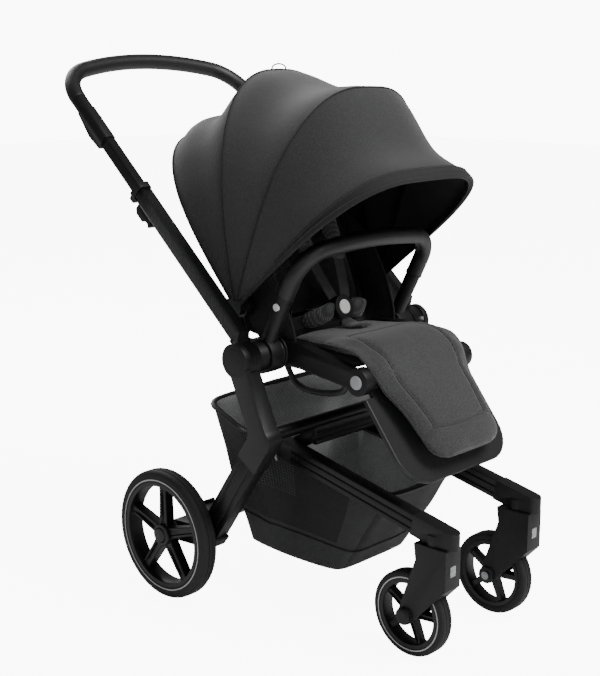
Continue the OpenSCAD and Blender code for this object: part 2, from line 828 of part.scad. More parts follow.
module buckle() {
    color("#111213") difference() {
        buckle_outline(0);
        translate(buckle_at) rotate([buckle_tilt, 0, 0]) translate([0, 0, 3]) cylinder(h = 10, r = 14 + fit);
    }
}

module buckle_button() {
    color("#d9d9d9") translate(buckle_at) rotate([buckle_tilt, 0, 0]) translate([0, 0, 6]) cylinder(h = 5, r = 14);
}

// ---- legrest ----

// Frame of the legrest: Z runs down it, Y points behind it
module on_legrest() {
    along(seat_pivot, 180 + legrest_angle) mirror([0, 1, 0]) children();
}

legrest_arm_x1 = seat_half - seat_rail_t - gap;
module legrest_board() {
    x = 150;
    r = 60;
    color("#141516") difference() {
        union() {
            on_legrest() translate([0, 9, 0]) rotate([90, 0, 0]) linear_extrude(board_t) union() {
                translate([-legrest_arm_x1, 6]) square([2 * legrest_arm_x1, 60]);
                translate([-x, 34]) square([2 * x, legrest_len - r - 34]);
                translate([-x + r, 34]) square([2 * (x - r), legrest_len - 34]);
                for (k = [-1, 1]) translate([k * (x - r), legrest_len - r]) circle(r, $fn = 64);
            }
            pair() pin(seat_pivot, legrest_arm_x1 - 16, legrest_arm_x1, 20);
        }
        pair() pin(seat_pivot, legrest_arm_x1 - 40, legrest_arm_x1 + 40, 8 + fit);
    }
}

module legrest_pad() {
    x = 112;
    r = 46;
    s1 = legrest_len - 18;
    color("#4b4c4d") on_legrest() translate([0, 1 - seat_gap, 0]) rotate([90, 0, 0])
        linear_extrude(legrest_pad_t) union() {
            translate([-x, 32]) square([2 * x, s1 - r - 32]);
            translate([-x + r, 32]) square([2 * (x - r), s1 - 32]);
            for (k = [-1, 1]) translate([k * (x - r), s1 - r]) circle(r, $fn = 64);
        }
}

module legrest_button() {
    pin(seat_pivot, seat_half - 3, seat_half + 3, button_r);
}

module legrest_button_left() { color("#b9babb") legrest_button(); }
module legrest_button_right() { color("#b9babb") right() legrest_button(); }

// ---- bumper bar ----

module on_bumper() {
    along(bumper_foot, bumper_angle) children();
}

bumper_ring_x0 = bumper_half - 14;
bumper_ring_x1 = bumper_half + 14;

module bumper_arms() {
    color("#18191a") pair() difference() {
        union() {
            pin(hub, bumper_ring_x0, bumper_ring_x1, adapter_r + 6);
            on_bumper() translate([bumper_half, 0, 4]) cylinder(h = bumper_joint_s - 4, r = bumper_r - 1.5);
        }
        pin(hub, bumper_ring_x0 - 1, bumper_ring_x1 + 1, adapter_r + fit);
        on_bumper() translate([bumper_half + bumper_r - 9.5, 0, bumper_button_s])
            rotate([0, 90, 0]) cylinder(h = 14, r = bumper_button_r + fit);
    }
}

bumper_button_s = 84;
bumper_button_r = 7;

module bumper_button() {
    on_bumper() translate([bumper_half + bumper_r - 6, 0, bumper_button_s])
        rotate([0, 90, 0]) cylinder(h = 7, r = bumper_button_r);
}

module bumper_button_left() { color("#d9d9d9") bumper_button(); }
module bumper_button_right() { color("#d9d9d9") right() bumper_button(); }

module bumper_grip() {
    color("#1a1a1b") on_bumper()
        u_bar(u_path(bumper_half, bumper_joint_s, bumper_s1, bumper_corner_r, bumper_arc_r), bumper_r);
}

// ---- canopy ----

bow_rear = 127;
bow_top = 101;
bow_mid = 70;
bow_front = 40;
bow_reach = [[bow_front, bow_front_reach], [bow_mid, bow_mid_reach], [bow_top, bow_top_reach], [bow_rear, bow_rear_reach]];
bow_width = [[bow_front, 212], [bow_mid, 210], [bow_top, 207], [bow_rear, 206]];
bow_square = [[bow_front, 3.6], [bow_mid, 2.8], [bow_top, 2.6], [bow_rear, 3]];
hinge_layer = 4.5;
hinge_x = 190;

function signed_pow(v, p) = sign(v) * pow(abs(v), p);

// A point of the hood at angle th from the front, arch angle t and depth under the surface
function hood(th, t, under = 0, foot = hinge_x) =
    let (p = 2 / lookup(th, bow_square),
         r = signed_pow(sin(t), p),
         w0 = foot,
         w1 = lookup(th, bow_width) - under,
         x = -signed_pow(cos(t), p) * (w0 + (w1 - w0) * min(1, 1.6 * r)),
         reach = (lookup(th, bow_reach) - under) * r)
    [x, canopy_hinge[0] - reach * cos(th), canopy_hinge[1] + reach * sin(th)];

// Flat strip bow at angle th, on its own layer of the hinge
module bow(th, layer) {
    steps = 36;
    half = 5;
    e = [0, sin(th), cos(th)];
    foot = hinge_x + layer * hinge_layer;
    t0 = asin(pow(9 / lookup(th, bow_reach), lookup(th, bow_square) / 2));
    skin([for (i = [0:steps]) let (t = t0 + (180 - 2 * t0) * i / steps,
        a = hood(th, t, canopy_t + 1, foot + 1.7), b = hood(th, t, canopy_t + 4.5, foot - 1.7))
        [a - half * e, a + half * e, b + half * e, b - half * e]]);
    pair() pin(canopy_hinge, foot - 1.9, foot + 1.9, 15);
}

// Fabric between two bows
module hood_fabric(th0, th1) {
    across = 6;
    steps = 30;
    skin([for (i = [0:steps]) let (t = 2 + 176 * i / steps) concat(
        [for (k = [0:across]) hood(th0 + (th1 - th0) * k / across, t, 0, hinge_x + 14)],
        [for (k = [across:-1:0]) hood(th0 + (th1 - th0) * k / across, t, canopy_t, hinge_x + 14 - canopy_t)])]);
}

// Plates on the back tube that carry the canopy's hinges
module canopy_mounts() {
    color("#191a1b") difference() {
        pair() side_plate(166, hinge_x - 2) {
            translate(canopy_hinge) circle(19);
            translate(canopy_hinge + [0, -14]) square([40, 24]);
        }
        pair() back_tube();
    }
}

module canopy_frame() {
    color("#191a1b") union() {
        bow(bow_rear, 0);
        bow(bow_top, 0);
        pair() pin(canopy_hinge, hinge_x, hinge_x + 2.5 * hinge_layer, 5);
    }
}

module canopy_rear() {
    color("#333435") hood_fabric(bow_top + 0.2, bow_rear);
}

module canopy_mid() {
    color("#3a3b3c") difference() {
        bow(bow_mid, 1);
        pair() pin(canopy_hinge, hinge_x, 230, 5 + fit);
    }
}

module canopy_front() {
    color("#3a3b3c") difference() {
        bow(bow_front, 2);
        pair() pin(canopy_hinge, hinge_x, 230, 5 + fit);
    }
}

module canopy_mid_fabric() { color("#3a3b3c") hood_fabric(bow_mid, bow_top - 0.2); }
module canopy_front_fabric() { color("#3a3b3c") hood_fabric(bow_front, bow_mid - 0.2); }

upper_legs();
lower_legs();
axle_housings();
rear_axle();
hub_pins();
crossbar();
crossbar_beam();
basket();
brake_pedal();
push_tube_left();
push_tube_right();
tube_collars();
fold_trigger_left();
fold_trigger_right();
handle_tubes();
handle_grip();
handle_sleeves();
handle_button_left();
handle_button_right();
rail_left();
rail_right();
rail_caps();
fork_left();
fork_right();
front_axle_left();
front_axle_right();
front_rim_left();
front_rim_right();
front_tyre_left();
front_tyre_right();
rear_rim_left();
rear_rim_right();
rear_tyre_left();
rear_tyre_right();
seat_adapters();
seat_frame();
seat_hoop();
seat_shell();
seat_pad();
back_frame();
back_brackets();
back_pad();
harness();
buckle();
buckle_button();
legrest_board();
legrest_pad();
legrest_button_left();
legrest_button_right();
bumper_arms();
bumper_grip();
bumper_button_left();
bumper_button_right();
canopy_mounts();
canopy_frame();
canopy_rear();
canopy_mid();
canopy_front();
canopy_mid_fabric();
canopy_front_fabric();
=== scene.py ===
import bpy, bmesh, json, math
import numpy as np
from mathutils import Vector, Matrix
from mathutils.bvhtree import BVHTree

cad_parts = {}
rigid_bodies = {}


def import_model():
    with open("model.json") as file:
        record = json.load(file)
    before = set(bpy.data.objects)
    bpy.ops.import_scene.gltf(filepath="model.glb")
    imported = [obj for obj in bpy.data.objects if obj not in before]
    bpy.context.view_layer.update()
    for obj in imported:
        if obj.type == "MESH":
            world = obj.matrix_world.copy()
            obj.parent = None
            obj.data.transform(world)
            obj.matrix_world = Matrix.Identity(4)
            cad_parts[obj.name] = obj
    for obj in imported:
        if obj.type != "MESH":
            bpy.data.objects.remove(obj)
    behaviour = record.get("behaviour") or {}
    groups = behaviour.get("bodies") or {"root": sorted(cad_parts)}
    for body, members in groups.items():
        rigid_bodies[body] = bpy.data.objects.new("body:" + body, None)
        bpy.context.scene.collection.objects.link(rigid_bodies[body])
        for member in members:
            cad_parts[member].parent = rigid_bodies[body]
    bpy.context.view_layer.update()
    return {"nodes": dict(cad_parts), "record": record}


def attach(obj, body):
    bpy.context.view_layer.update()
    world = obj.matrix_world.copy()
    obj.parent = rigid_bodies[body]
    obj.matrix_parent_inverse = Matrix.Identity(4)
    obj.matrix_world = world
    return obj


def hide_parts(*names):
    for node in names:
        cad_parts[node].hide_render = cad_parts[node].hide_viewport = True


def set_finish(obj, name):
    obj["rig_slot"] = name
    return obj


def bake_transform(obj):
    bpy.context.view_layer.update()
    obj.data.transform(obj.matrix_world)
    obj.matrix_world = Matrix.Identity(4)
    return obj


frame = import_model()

# ---------------------------------------------------------------- studio
# A plain pale sweep of floor, a big soft key light from the front left, a broad fill and a rim light,
# and a camera standing in front of the seat's right-hand side at the height of an adult's chest.
def linear(code):
    """sRGB hex colour to the linear RGBA that the shader wants"""
    out = []
    for i in (1, 3, 5):
        c = int(code[i:i + 2], 16) / 255
        out.append(c / 12.92 if c <= 0.04045 else ((c + 0.055) / 1.055) ** 2.4)
    return (*out, 1.0)


def add(tree, kind, inputs=None, **settings):
    """adds one node, sets its options, and sets or links its inputs"""
    node = tree.nodes.new(kind)
    for name, value in settings.items():
        setattr(node, name, value)
    for name, value in (inputs or {}).items():
        if isinstance(value, bpy.types.NodeSocket):
            tree.links.new(value, node.inputs[name])
        else:
            node.inputs[name].default_value = value
    return node


def blank(name, **sockets):
    """a new material with constants on its shader's own sockets; gives (material, tree, shader)"""
    mat = bpy.data.materials.new(name)
    mat.use_nodes = True
    shader = mat.node_tree.nodes["Principled BSDF"]
    for key, value in sockets.items():
        shader.inputs[key.replace("_", " ")].default_value = value
    return mat, mat.node_tree, shader


def put(name, mesh, *materials):
    """a new object at the origin, linked into the scene"""
    obj = bpy.data.objects.new(name, mesh)
    bpy.context.scene.collection.objects.link(obj)
    for m in materials:
        obj.data.materials.append(m)
    return obj


floor_mat, tree, shader = blank("matt_white_paper", Roughness=0.9)
shader.inputs["Specular IOR Level"].default_value = 0.1
place = add(tree, "ShaderNodeTexCoord")
fibre = add(tree, "ShaderNodeTexNoise", {"Vector": place.outputs["Object"], "Scale": 3.0, "Detail": 2.0})
tone = add(tree, "ShaderNodeMix", {"Factor": fibre.outputs["Fac"], "A": linear("#f6f6f6"),
                                   "B": linear("#fbfbfb")}, data_type="RGBA")
tree.links.new(tone.outputs["Result"], shader.inputs["Base Color"])
ray = add(tree, "ShaderNodeLightPath")
glow = add(tree, "ShaderNodeMath", {0: ray.outputs["Is Camera Ray"], 1: 9.0}, operation="MULTIPLY")
shader.inputs["Emission Color"].default_value = (1.0, 1.0, 1.0, 1.0)
tree.links.new(glow.outputs["Value"], shader.inputs["Emission Strength"])
bm = bmesh.new()
bmesh.ops.create_grid(bm, x_segments=2, y_segments=2, size=12)
floor_mesh = bpy.data.meshes.new("floor")
bm.to_mesh(floor_mesh)
bm.free()
put("floor", floor_mesh, floor_mat)

world = bpy.data.worlds.new("studio")
bpy.context.scene.world = world
world.use_nodes = True
world.node_tree.nodes["Background"].inputs["Color"].default_value = (1.0, 1.0, 1.0, 1.0)
ray = add(world.node_tree, "ShaderNodeLightPath")
# the backdrop is bright to look at, and lights the stroller softly
strength = add(world.node_tree, "ShaderNodeMath", {0: ray.outputs["Is Camera Ray"], 1: 10.0, 2: 0.17},
               operation="MULTIPLY_ADD")
world.node_tree.links.new(strength.outputs["Value"], world.node_tree.nodes["Background"].inputs["Strength"])

for name, spot, size, power in (("key", (0.5, -2.5, 3.7), 1.8, 185), ("fill", (-2.9, -1.6, 2.6), 2.0, 12),
                                ("rim", (0.6, 3.0, 2.6), 2.0, 70), ("low", (-0.6, -3.4, 0.8), 1.6, 14)):
    lamp = bpy.data.lights.new(name, "AREA")
    lamp.size = size
    lamp.energy = power
    obj = bpy.data.objects.new(name, lamp)
    obj.location = spot
    obj.rotation_euler = (Vector((0, 0, 0.5)) - Vector(spot)).to_track_quat("-Z", "Y").to_euler()
    bpy.context.scene.collection.objects.link(obj)

turn, rise = math.radians(-46.11), math.radians(12.66)
back = Vector((math.sin(turn) * math.cos(rise), -math.cos(turn) * math.cos(rise), math.sin(rise)))
eye = bpy.data.cameras.new("camera")
eye.sensor_width = 36
eye.lens = 66.04
camera = bpy.data.objects.new("camera", eye)
camera.location = (-1.7372, -1.666, 1.0379)
camera.rotation_euler = (-back).to_track_quat("-Z", "Y").to_euler()
bpy.context.scene.collection.objects.link(camera)
bpy.context.scene.camera = camera

# ---------------------------------------------------------------- side frames
# Each side frame is a die-cast aluminium knee, powder coated satin black, with a grooved aluminium tube
# below it and a glass-filled nylon housing that holds the rear axle. Every edge is broken by the mould.
def coat(name, code, rough, grain_mm, depth, mottling=0.12, metal=0.0):
    """an even moulded or coated surface: fine grain in the light, slow mottling in the colour"""
    mat, tree, shader = blank(name, Metallic=metal, Specular_IOR_Level=0.35)
    place = add(tree, "ShaderNodeTexCoord")
    slow = add(tree, "ShaderNodeTexNoise", {"Vector": place.outputs["Object"], "Scale": 14.0, "Detail": 3.0})
    fine = add(tree, "ShaderNodeTexNoise", {"Vector": place.outputs["Object"], "Scale": 1000 / grain_mm,
                                            "Detail": 2.0})
    base = linear(code)
    dark = tuple(c * (1 - mottling) for c in base[:3]) + (1,)
    light = tuple(min(1, c * (1 + mottling)) for c in base[:3]) + (1,)
    colour = add(tree, "ShaderNodeMix", {"Factor": slow.outputs["Fac"], "A": dark, "B": light},
                 data_type="RGBA")
    gloss = add(tree, "ShaderNodeMapRange", {"Value": fine.outputs["Fac"], "From Min": 0.3, "From Max": 0.7,
                                             "To Min": rough - 0.06, "To Max": rough + 0.06})
    bump = add(tree, "ShaderNodeBump", {"Height": fine.outputs["Fac"], "Strength": 0.35,
                                        "Distance": depth / 1000})
    tree.links.new(colour.outputs["Result"], shader.inputs["Base Color"])
    tree.links.new(gloss.outputs["Result"], shader.inputs["Roughness"])
    tree.links.new(bump.outputs["Normal"], shader.inputs["Normal"])
    return mat


# powder coat: satin black with the faint orange peel of baked powder, 1.5 mm across
powder_coat = coat("satin_powder_coat", "#0b0b0c", 0.45, 1.5, 0.12)
# nylon: black, matt, with the spark-eroded grain of the mould, about 0.8 mm
nylon = coat("spark_eroded_nylon", "#0f0f10", 0.48, 0.8, 0.12)


def brushed(name, code, rough, axis):
    """anodised tube: a fine brushed grain drawn out along the tube"""
    mat, tree, shader = blank(name, Metallic=0.55)
    place = add(tree, "ShaderNodeTexCoord")
    pull = add(tree, "ShaderNodeMapping", {"Vector": place.outputs["Object"], "Rotation": axis,
                                           "Scale": (700, 700, 9)})
    fine = add(tree, "ShaderNodeTexNoise", {"Vector": pull.outputs["Vector"], "Scale": 1.0, "Detail": 2.0})
    slow = add(tree, "ShaderNodeTexNoise", {"Vector": place.outputs["Object"], "Scale": 8.0})
    blend_in = add(tree, "ShaderNodeMath", {0: fine.outputs["Fac"], 1: slow.outputs["Fac"]},
                   operation="MULTIPLY")
    base = linear(code)
    colour = add(tree, "ShaderNodeMix", {"Factor": blend_in.outputs["Value"],
                                         "A": tuple(c * 0.8 for c in base[:3]) + (1,),
                                         "B": tuple(min(1, c * 1.5) for c in base[:3]) + (1,)},
                                         data_type="RGBA")
    gloss = add(tree, "ShaderNodeMapRange", {"Value": fine.outputs["Fac"], "From Min": 0.3, "From Max": 0.7,
                                             "To Min": rough - 0.05, "To Max": rough + 0.08})
    tree.links.new(colour.outputs["Result"], shader.inputs["Base Color"])
    tree.links.new(gloss.outputs["Result"], shader.inputs["Roughness"])
    return mat


# anodised aluminium: near-black with a soft metallic streak; 1.4 mm streaks stand for a finer brushing
leg_tube = brushed("anodised_leg_tube", "#1c1c1e", 0.36, (math.radians(54.4), 0, 0))
body_of = {n: b for b, names in frame["record"]["behaviour"]["bodies"].items() for n in names}


def smooth(mesh, degrees=32):
    mesh.shade_smooth()
    mesh.set_sharp_from_angle(angle=math.radians(degrees))


def baked(obj):
    """applies every modifier, so the object carries a plain mesh"""
    bpy.context.view_layer.update()
    done = bpy.data.meshes.new_from_object(obj.evaluated_get(bpy.context.evaluated_depsgraph_get()))
    obj.modifiers.clear()
    obj.data = done
    return obj


def dress(node, material, edge=1.0, turns=2, angle=40):
    """a copy of a CAD node that stands for it, its triangles joined and its edges broken by edge mm"""
    mesh = frame["nodes"][node].data.copy()
    bm = bmesh.new()
    bm.from_mesh(mesh)
    bmesh.ops.remove_doubles(bm, verts=bm.verts, dist=2e-5)
    bmesh.ops.dissolve_limit(bm, angle_limit=math.radians(0.6), verts=bm.verts, edges=bm.edges)
    bmesh.ops.recalc_face_normals(bm, faces=bm.faces)
    bm.to_mesh(mesh)
    bm.free()
    mesh.materials.clear()
    obj = put(node + "_shell", mesh, material)
    bevel = obj.modifiers.new("edge", "BEVEL")
    bevel.width = edge / 1000
    bevel.segments = turns
    bevel.limit_method = "ANGLE"
    bevel.angle_limit = math.radians(angle)
    bevel.use_clamp_overlap = True
    baked(obj)
    smooth(obj.data)
    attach(obj, body_of[node])
    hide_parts(node)
    return obj


dress("upper_legs", powder_coat, 2.2, 3)
dress("lower_legs", leg_tube, 0.8)
dress("axle_housings", nylon, 2.0, 3)


def lathe(profile, centre, steps=64):
    """turns (radius, x) points in mm about the X axis at centre, in mm; gives vertices and faces"""
    verts, faces = [], []
    n = len(profile)
    for i in range(steps):
        a = 2 * math.pi * i / steps
        for r, x in profile:
            verts.append(((centre[0] + x) / 1000, (centre[1] + r * math.cos(a)) / 1000,
                          (centre[2] + r * math.sin(a)) / 1000))
    for i in range(steps):
        for j in range(n - 1):
            a, b = i * n + j, ((i + 1) % steps) * n + j
            faces.append((a, b, b + 1, a + 1))
    return verts, faces


def made(name, parts, *materials, flip=False, body=None, degrees=32, both=False):
    """a mesh object out of (vertices, faces) lists, mirrored to both sides if asked, normals outwards"""
    bm = bmesh.new()
    for index, (verts, faces) in enumerate(parts):
        for side in ((1, -1) if both else (-1,) if flip else (1,)):
            new = [bm.verts.new((side * v[0], v[1], v[2])) for v in verts]
            for f in faces:
                if len({tuple(round(c, 7) for c in new[k].co) for k in f}) > 2:
                    face = bm.faces.new([new[k] for k in f])
                    face.material_index = min(index, len(materials) - 1)
    bmesh.ops.remove_doubles(bm, verts=bm.verts, dist=1e-6)
    bmesh.ops.recalc_face_normals(bm, faces=bm.faces)
    mesh = bpy.data.meshes.new(name)
    bm.to_mesh(mesh)
    bm.free()
    smooth(mesh, degrees)
    obj = put(name, mesh, *materials)
    if body:
        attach(obj, body)
    return obj


# shallow dished cap pressed into each hub disc
hub_cap = lathe([(0, 0.6), (20, 0.6), (23, 0.2), (24, -0.8), (25, 0.4), (28, 0.2), (28.6, -1.0), (0, -1.0)],
                (262, -81.7, 509))
made("hub_caps", [hub_cap], nylon, both=True, body="chassis")

# turned steel pins that the wheels and the hub turn on: bright, with a fine lathe grain
steel = coat("turned_steel", "#8e9194", 0.3, 1.2, 0.05, 0.08, 1.0)
for node in ("rear_axle", "hub_pins", "front_axle_left", "front_axle_right"):
    frame["nodes"][node].data.materials.clear()
    frame["nodes"][node].data.materials.append(steel)

# ---------------------------------------------------------------- crossbar
# A thick round bar and a grooved extruded beam join the two knees, both aluminium with a black anodised
# finish. The front rails hang on the beam's end brackets.
bar_finish = brushed("anodised_cross_tube", "#161617", 0.34, (0, math.radians(90), 0))
dress("crossbar", bar_finish, 0.8)
dress("crossbar_beam", bar_finish, 1.2)

# ---------------------------------------------------------------- front rails and forks
# Two extruded aluminium rails with a rounded back and two grooves along each side, plugged with nylon
# ends. Under each end a nylon fork swivels, with a grey prismatic reflector on its front.
rail_finish = brushed("anodised_rail", "#1c1c1e", 0.3, (math.radians(90 + 11.6), 0, 0))
for side in ("left", "right"):
    dress("rail_" + side, rail_finish, 2.6, 4)
    dress("fork_" + side, nylon, 1.8, 3)
dress("rail_caps", nylon, 3.5, 4)

reflector_mat, tree, shader = blank("prismatic_reflector", Metallic=0.0, Roughness=0.16, Coat_Weight=0.6)
place = add(tree, "ShaderNodeTexCoord")
# 2.5 mm corner cubes pressed into grey acrylic, so it sparkles in small diamonds
cells = add(tree, "ShaderNodeTexVoronoi", {"Vector": place.outputs["Object"], "Scale": 400.0}, feature="F1")
tint = add(tree, "ShaderNodeMix", {"Factor": cells.outputs["Distance"], "A": linear("#a9abad"),
                                   "B": linear("#5e6062")}, data_type="RGBA")
dent = add(tree, "ShaderNodeBump", {"Height": cells.outputs["Distance"], "Strength": 0.6, "Distance": 0.0006})
tree.links.new(tint.outputs["Result"], shader.inputs["Base Color"])
tree.links.new(dent.outputs["Normal"], shader.inputs["Normal"])


def pillow(cx, cy, cz, w, h, t, crown, across=6, up=5):
    """a thin cushion-shaped plate facing -Y in mm, with its back closed"""
    verts, faces = [], []
    for j in range(up + 1):
        for i in range(across + 1):
            u, v = 2 * i / across - 1, 2 * j / up - 1
            verts.append(((cx + u * w / 2 * (1 - 0.04 * v ** 4)) / 1000,
                          (cy - t - crown * (1 - u ** 4) * (1 - v ** 4)) / 1000,
                          (cz + v * h / 2 * (1 - 0.04 * u ** 4)) / 1000))
    n = (across + 1) * (up + 1)
    verts += [(x, cy / 1000, z) for x, y, z in verts]
    for j in range(up):
        for i in range(across):
            a = j * (across + 1) + i
            faces.append((a, a + 1, a + across + 2, a + across + 1))
            faces.append((n + a, n + a + across + 1, n + a + across + 2, n + a + 1))
    rim = [i for i in range(across)] + [i * (across + 1) + across for i in range(up)] + \
          [up * (across + 1) + across - i for i in range(across)] + [(up - i) * (across + 1)
              for i in range(up)]
    for a, b in zip(rim, rim[1:] + rim[:1]):
        faces.append((a, b, n + b, n + a))
    return verts, faces


for side in (1, -1):
    name = "left" if side > 0 else "right"
    made("reflector_" + name, [pillow(side * 124, -477.4, 181, 15, 19, 1.0, 0.7)], reflector_mat,
         body="caster_" + name)
    cover = lathe([(0, 3.2), (9, 3.2), (13.5, 2.6), (15.2, 1.2), (15.6, 0), (0, 0)], (152.2, -391.7, 79.3))
    made("fork_caps_" + name, [cover], nylon, flip=side < 0, body="caster_" + name)

# ---------------------------------------------------------------- wheels
# Foam-filled rubber tyres on five-spoke nylon rims. A pale ring is moulded into each sidewall, the tread
# is cut with slanting grooves, and the spokes are channelled to save weight.
rubber = coat("foam_filled_tyre_rubber", "#1b1b1b", 0.66, 1.6, 0.25, 0.2)
ring_mat = coat("pale_sidewall_ring", "#b6b7b6", 0.5, 1.0, 0.05, 0.06)
rim_mat = coat("glass_filled_nylon_rim", "#111112", 0.4, 1.0, 0.08)


def repeat_round(name, leaf, count, radius, centre, material, tilt=0.0, offset=0.0):
    """Geometry Nodes: copies of a leaf mesh round the X axis, realised and given their material"""
    tree = bpy.data.node_groups.new(name + "_round", "GeometryNodeTree")
    face = tree.interface
    face.new_socket("Geometry", in_out="INPUT", socket_type="NodeSocketGeometry")
    sizes = {}
    for label, kind, value in (("Count", "NodeSocketInt", count), ("Radius", "NodeSocketFloat", radius),
                               ("Start angle", "NodeSocketFloat", offset), ("Tilt", "NodeSocketFloat", tilt)):
        sizes[label] = (face.new_socket(label, in_out="INPUT", socket_type=kind).identifier, value)
    face.new_socket("Geometry", in_out="OUTPUT", socket_type="NodeSocketGeometry")
    start = add(tree, "NodeGroupInput")
    line = add(tree, "GeometryNodeMeshLine", {"Count": start.outputs["Count"], "Start Location": (0, 0, 0),
                                              "Offset": (0, 0, 0)})
    number = add(tree, "GeometryNodeInputIndex")
    step = add(tree, "ShaderNodeMath", {0: 2 * math.pi, 1: start.outputs["Count"]}, operation="DIVIDE")
    angle = add(tree, "ShaderNodeMath", {0: number.outputs["Index"], 1: step.outputs["Value"],
                                         2: start.outputs["Start angle"]},
                operation="MULTIPLY_ADD")
    sine = add(tree, "ShaderNodeMath", {0: angle.outputs["Value"]}, operation="SINE")
    cosine = add(tree, "ShaderNodeMath", {0: angle.outputs["Value"]}, operation="COSINE")
    y = add(tree, "ShaderNodeMath", {0: cosine.outputs["Value"], 1: start.outputs["Radius"]},
            operation="MULTIPLY")
    z = add(tree, "ShaderNodeMath", {0: sine.outputs["Value"], 1: start.outputs["Radius"]},
            operation="MULTIPLY")
    spot = add(tree, "ShaderNodeCombineXYZ", {"X": 0.0, "Y": y.outputs["Value"], "Z": z.outputs["Value"]})
    spread = add(tree, "GeometryNodeSetPosition", {"Geometry": line.outputs["Mesh"],
        "Position": spot.outputs["Vector"]})
    lean = add(tree, "ShaderNodeCombineXYZ", {"X": 0.0, "Y": start.outputs["Tilt"], "Z": 0.0})
    roll = add(tree, "ShaderNodeCombineXYZ", {"X": angle.outputs["Value"], "Y": 0.0, "Z": 0.0})
    first = add(tree, "FunctionNodeEulerToRotation", {"Euler": lean.outputs["Vector"]})
    then = add(tree, "FunctionNodeEulerToRotation", {"Euler": roll.outputs["Vector"]})
    both = add(tree, "FunctionNodeRotateRotation", {"Rotation": first.outputs["Rotation"],
        "Rotate By": then.outputs["Rotation"]},
               rotation_space="GLOBAL")
    copies = add(tree, "GeometryNodeInstanceOnPoints", {"Points": spread.outputs["Geometry"],
        "Instance": start.outputs["Geometry"],
                                                        "Rotation": both.outputs["Rotation"]})
    real = add(tree, "GeometryNodeRealizeInstances", {"Geometry": copies.outputs["Instances"]})
    painted = add(tree, "GeometryNodeSetMaterial", {"Geometry": real.outputs["Geometry"],
        "Material": material})
    add(tree, "NodeGroupOutput", {"Geometry": painted.outputs["Geometry"]})
    mesh = bpy.data.meshes.new(name)
    mesh.from_pydata(leaf[0], [], leaf[1])
    obj = put(name, mesh, material)
    modifier = obj.modifiers.new("round", "NODES")
    modifier.node_group = tree
    for identifier, value in sizes.values():
        modifier[identifier] = value
    baked(obj)
    obj.data.transform(Matrix.Translation(Vector(centre) / 1000))
    smooth(obj.data, 32)
    return obj


def spoke(r0, r1, w0, w1, x0, x1, groove):
    """a channelled spoke along +Y in metres: wider at the hub, with a trough down its outer face"""
    verts, faces = [], []
    steps = 8
    for i in range(steps + 1):
        t = i / steps
        r = r0 + (r1 - r0) * t
        w = w0 + (w1 - w0) * t ** 0.8
        flare = 1 + 0.35 * max(0, (t - 0.82) / 0.18) ** 2
        w *= flare
        e = min(1.6, w * 0.2)
        cut = groove * min(1, 5 * t, 4 * (1 - t))
        ring = [(x0, -w + e), (x0 + e, -w), (x1 - e, -w), (x1, -w + e), (x1, -w * 0.5), (x1 - cut, -w * 0.34),
                (x1 - cut, w * 0.34), (x1, w * 0.5), (x1, w - e), (x1 - e, w), (x0 + e, w), (x0, w - e)]
        verts += [(x / 1000, r / 1000, z / 1000) for x, z in ring]
    n = 12
    for i in range(steps):
        for j in range(n):
            a, b = i * n + j, i * n + (j + 1) % n
            faces.append((a, b, b + n, a + n))
    faces.append(tuple(range(n))[::-1])
    faces.append(tuple(range(steps * n, steps * n + n)))
    return verts, faces


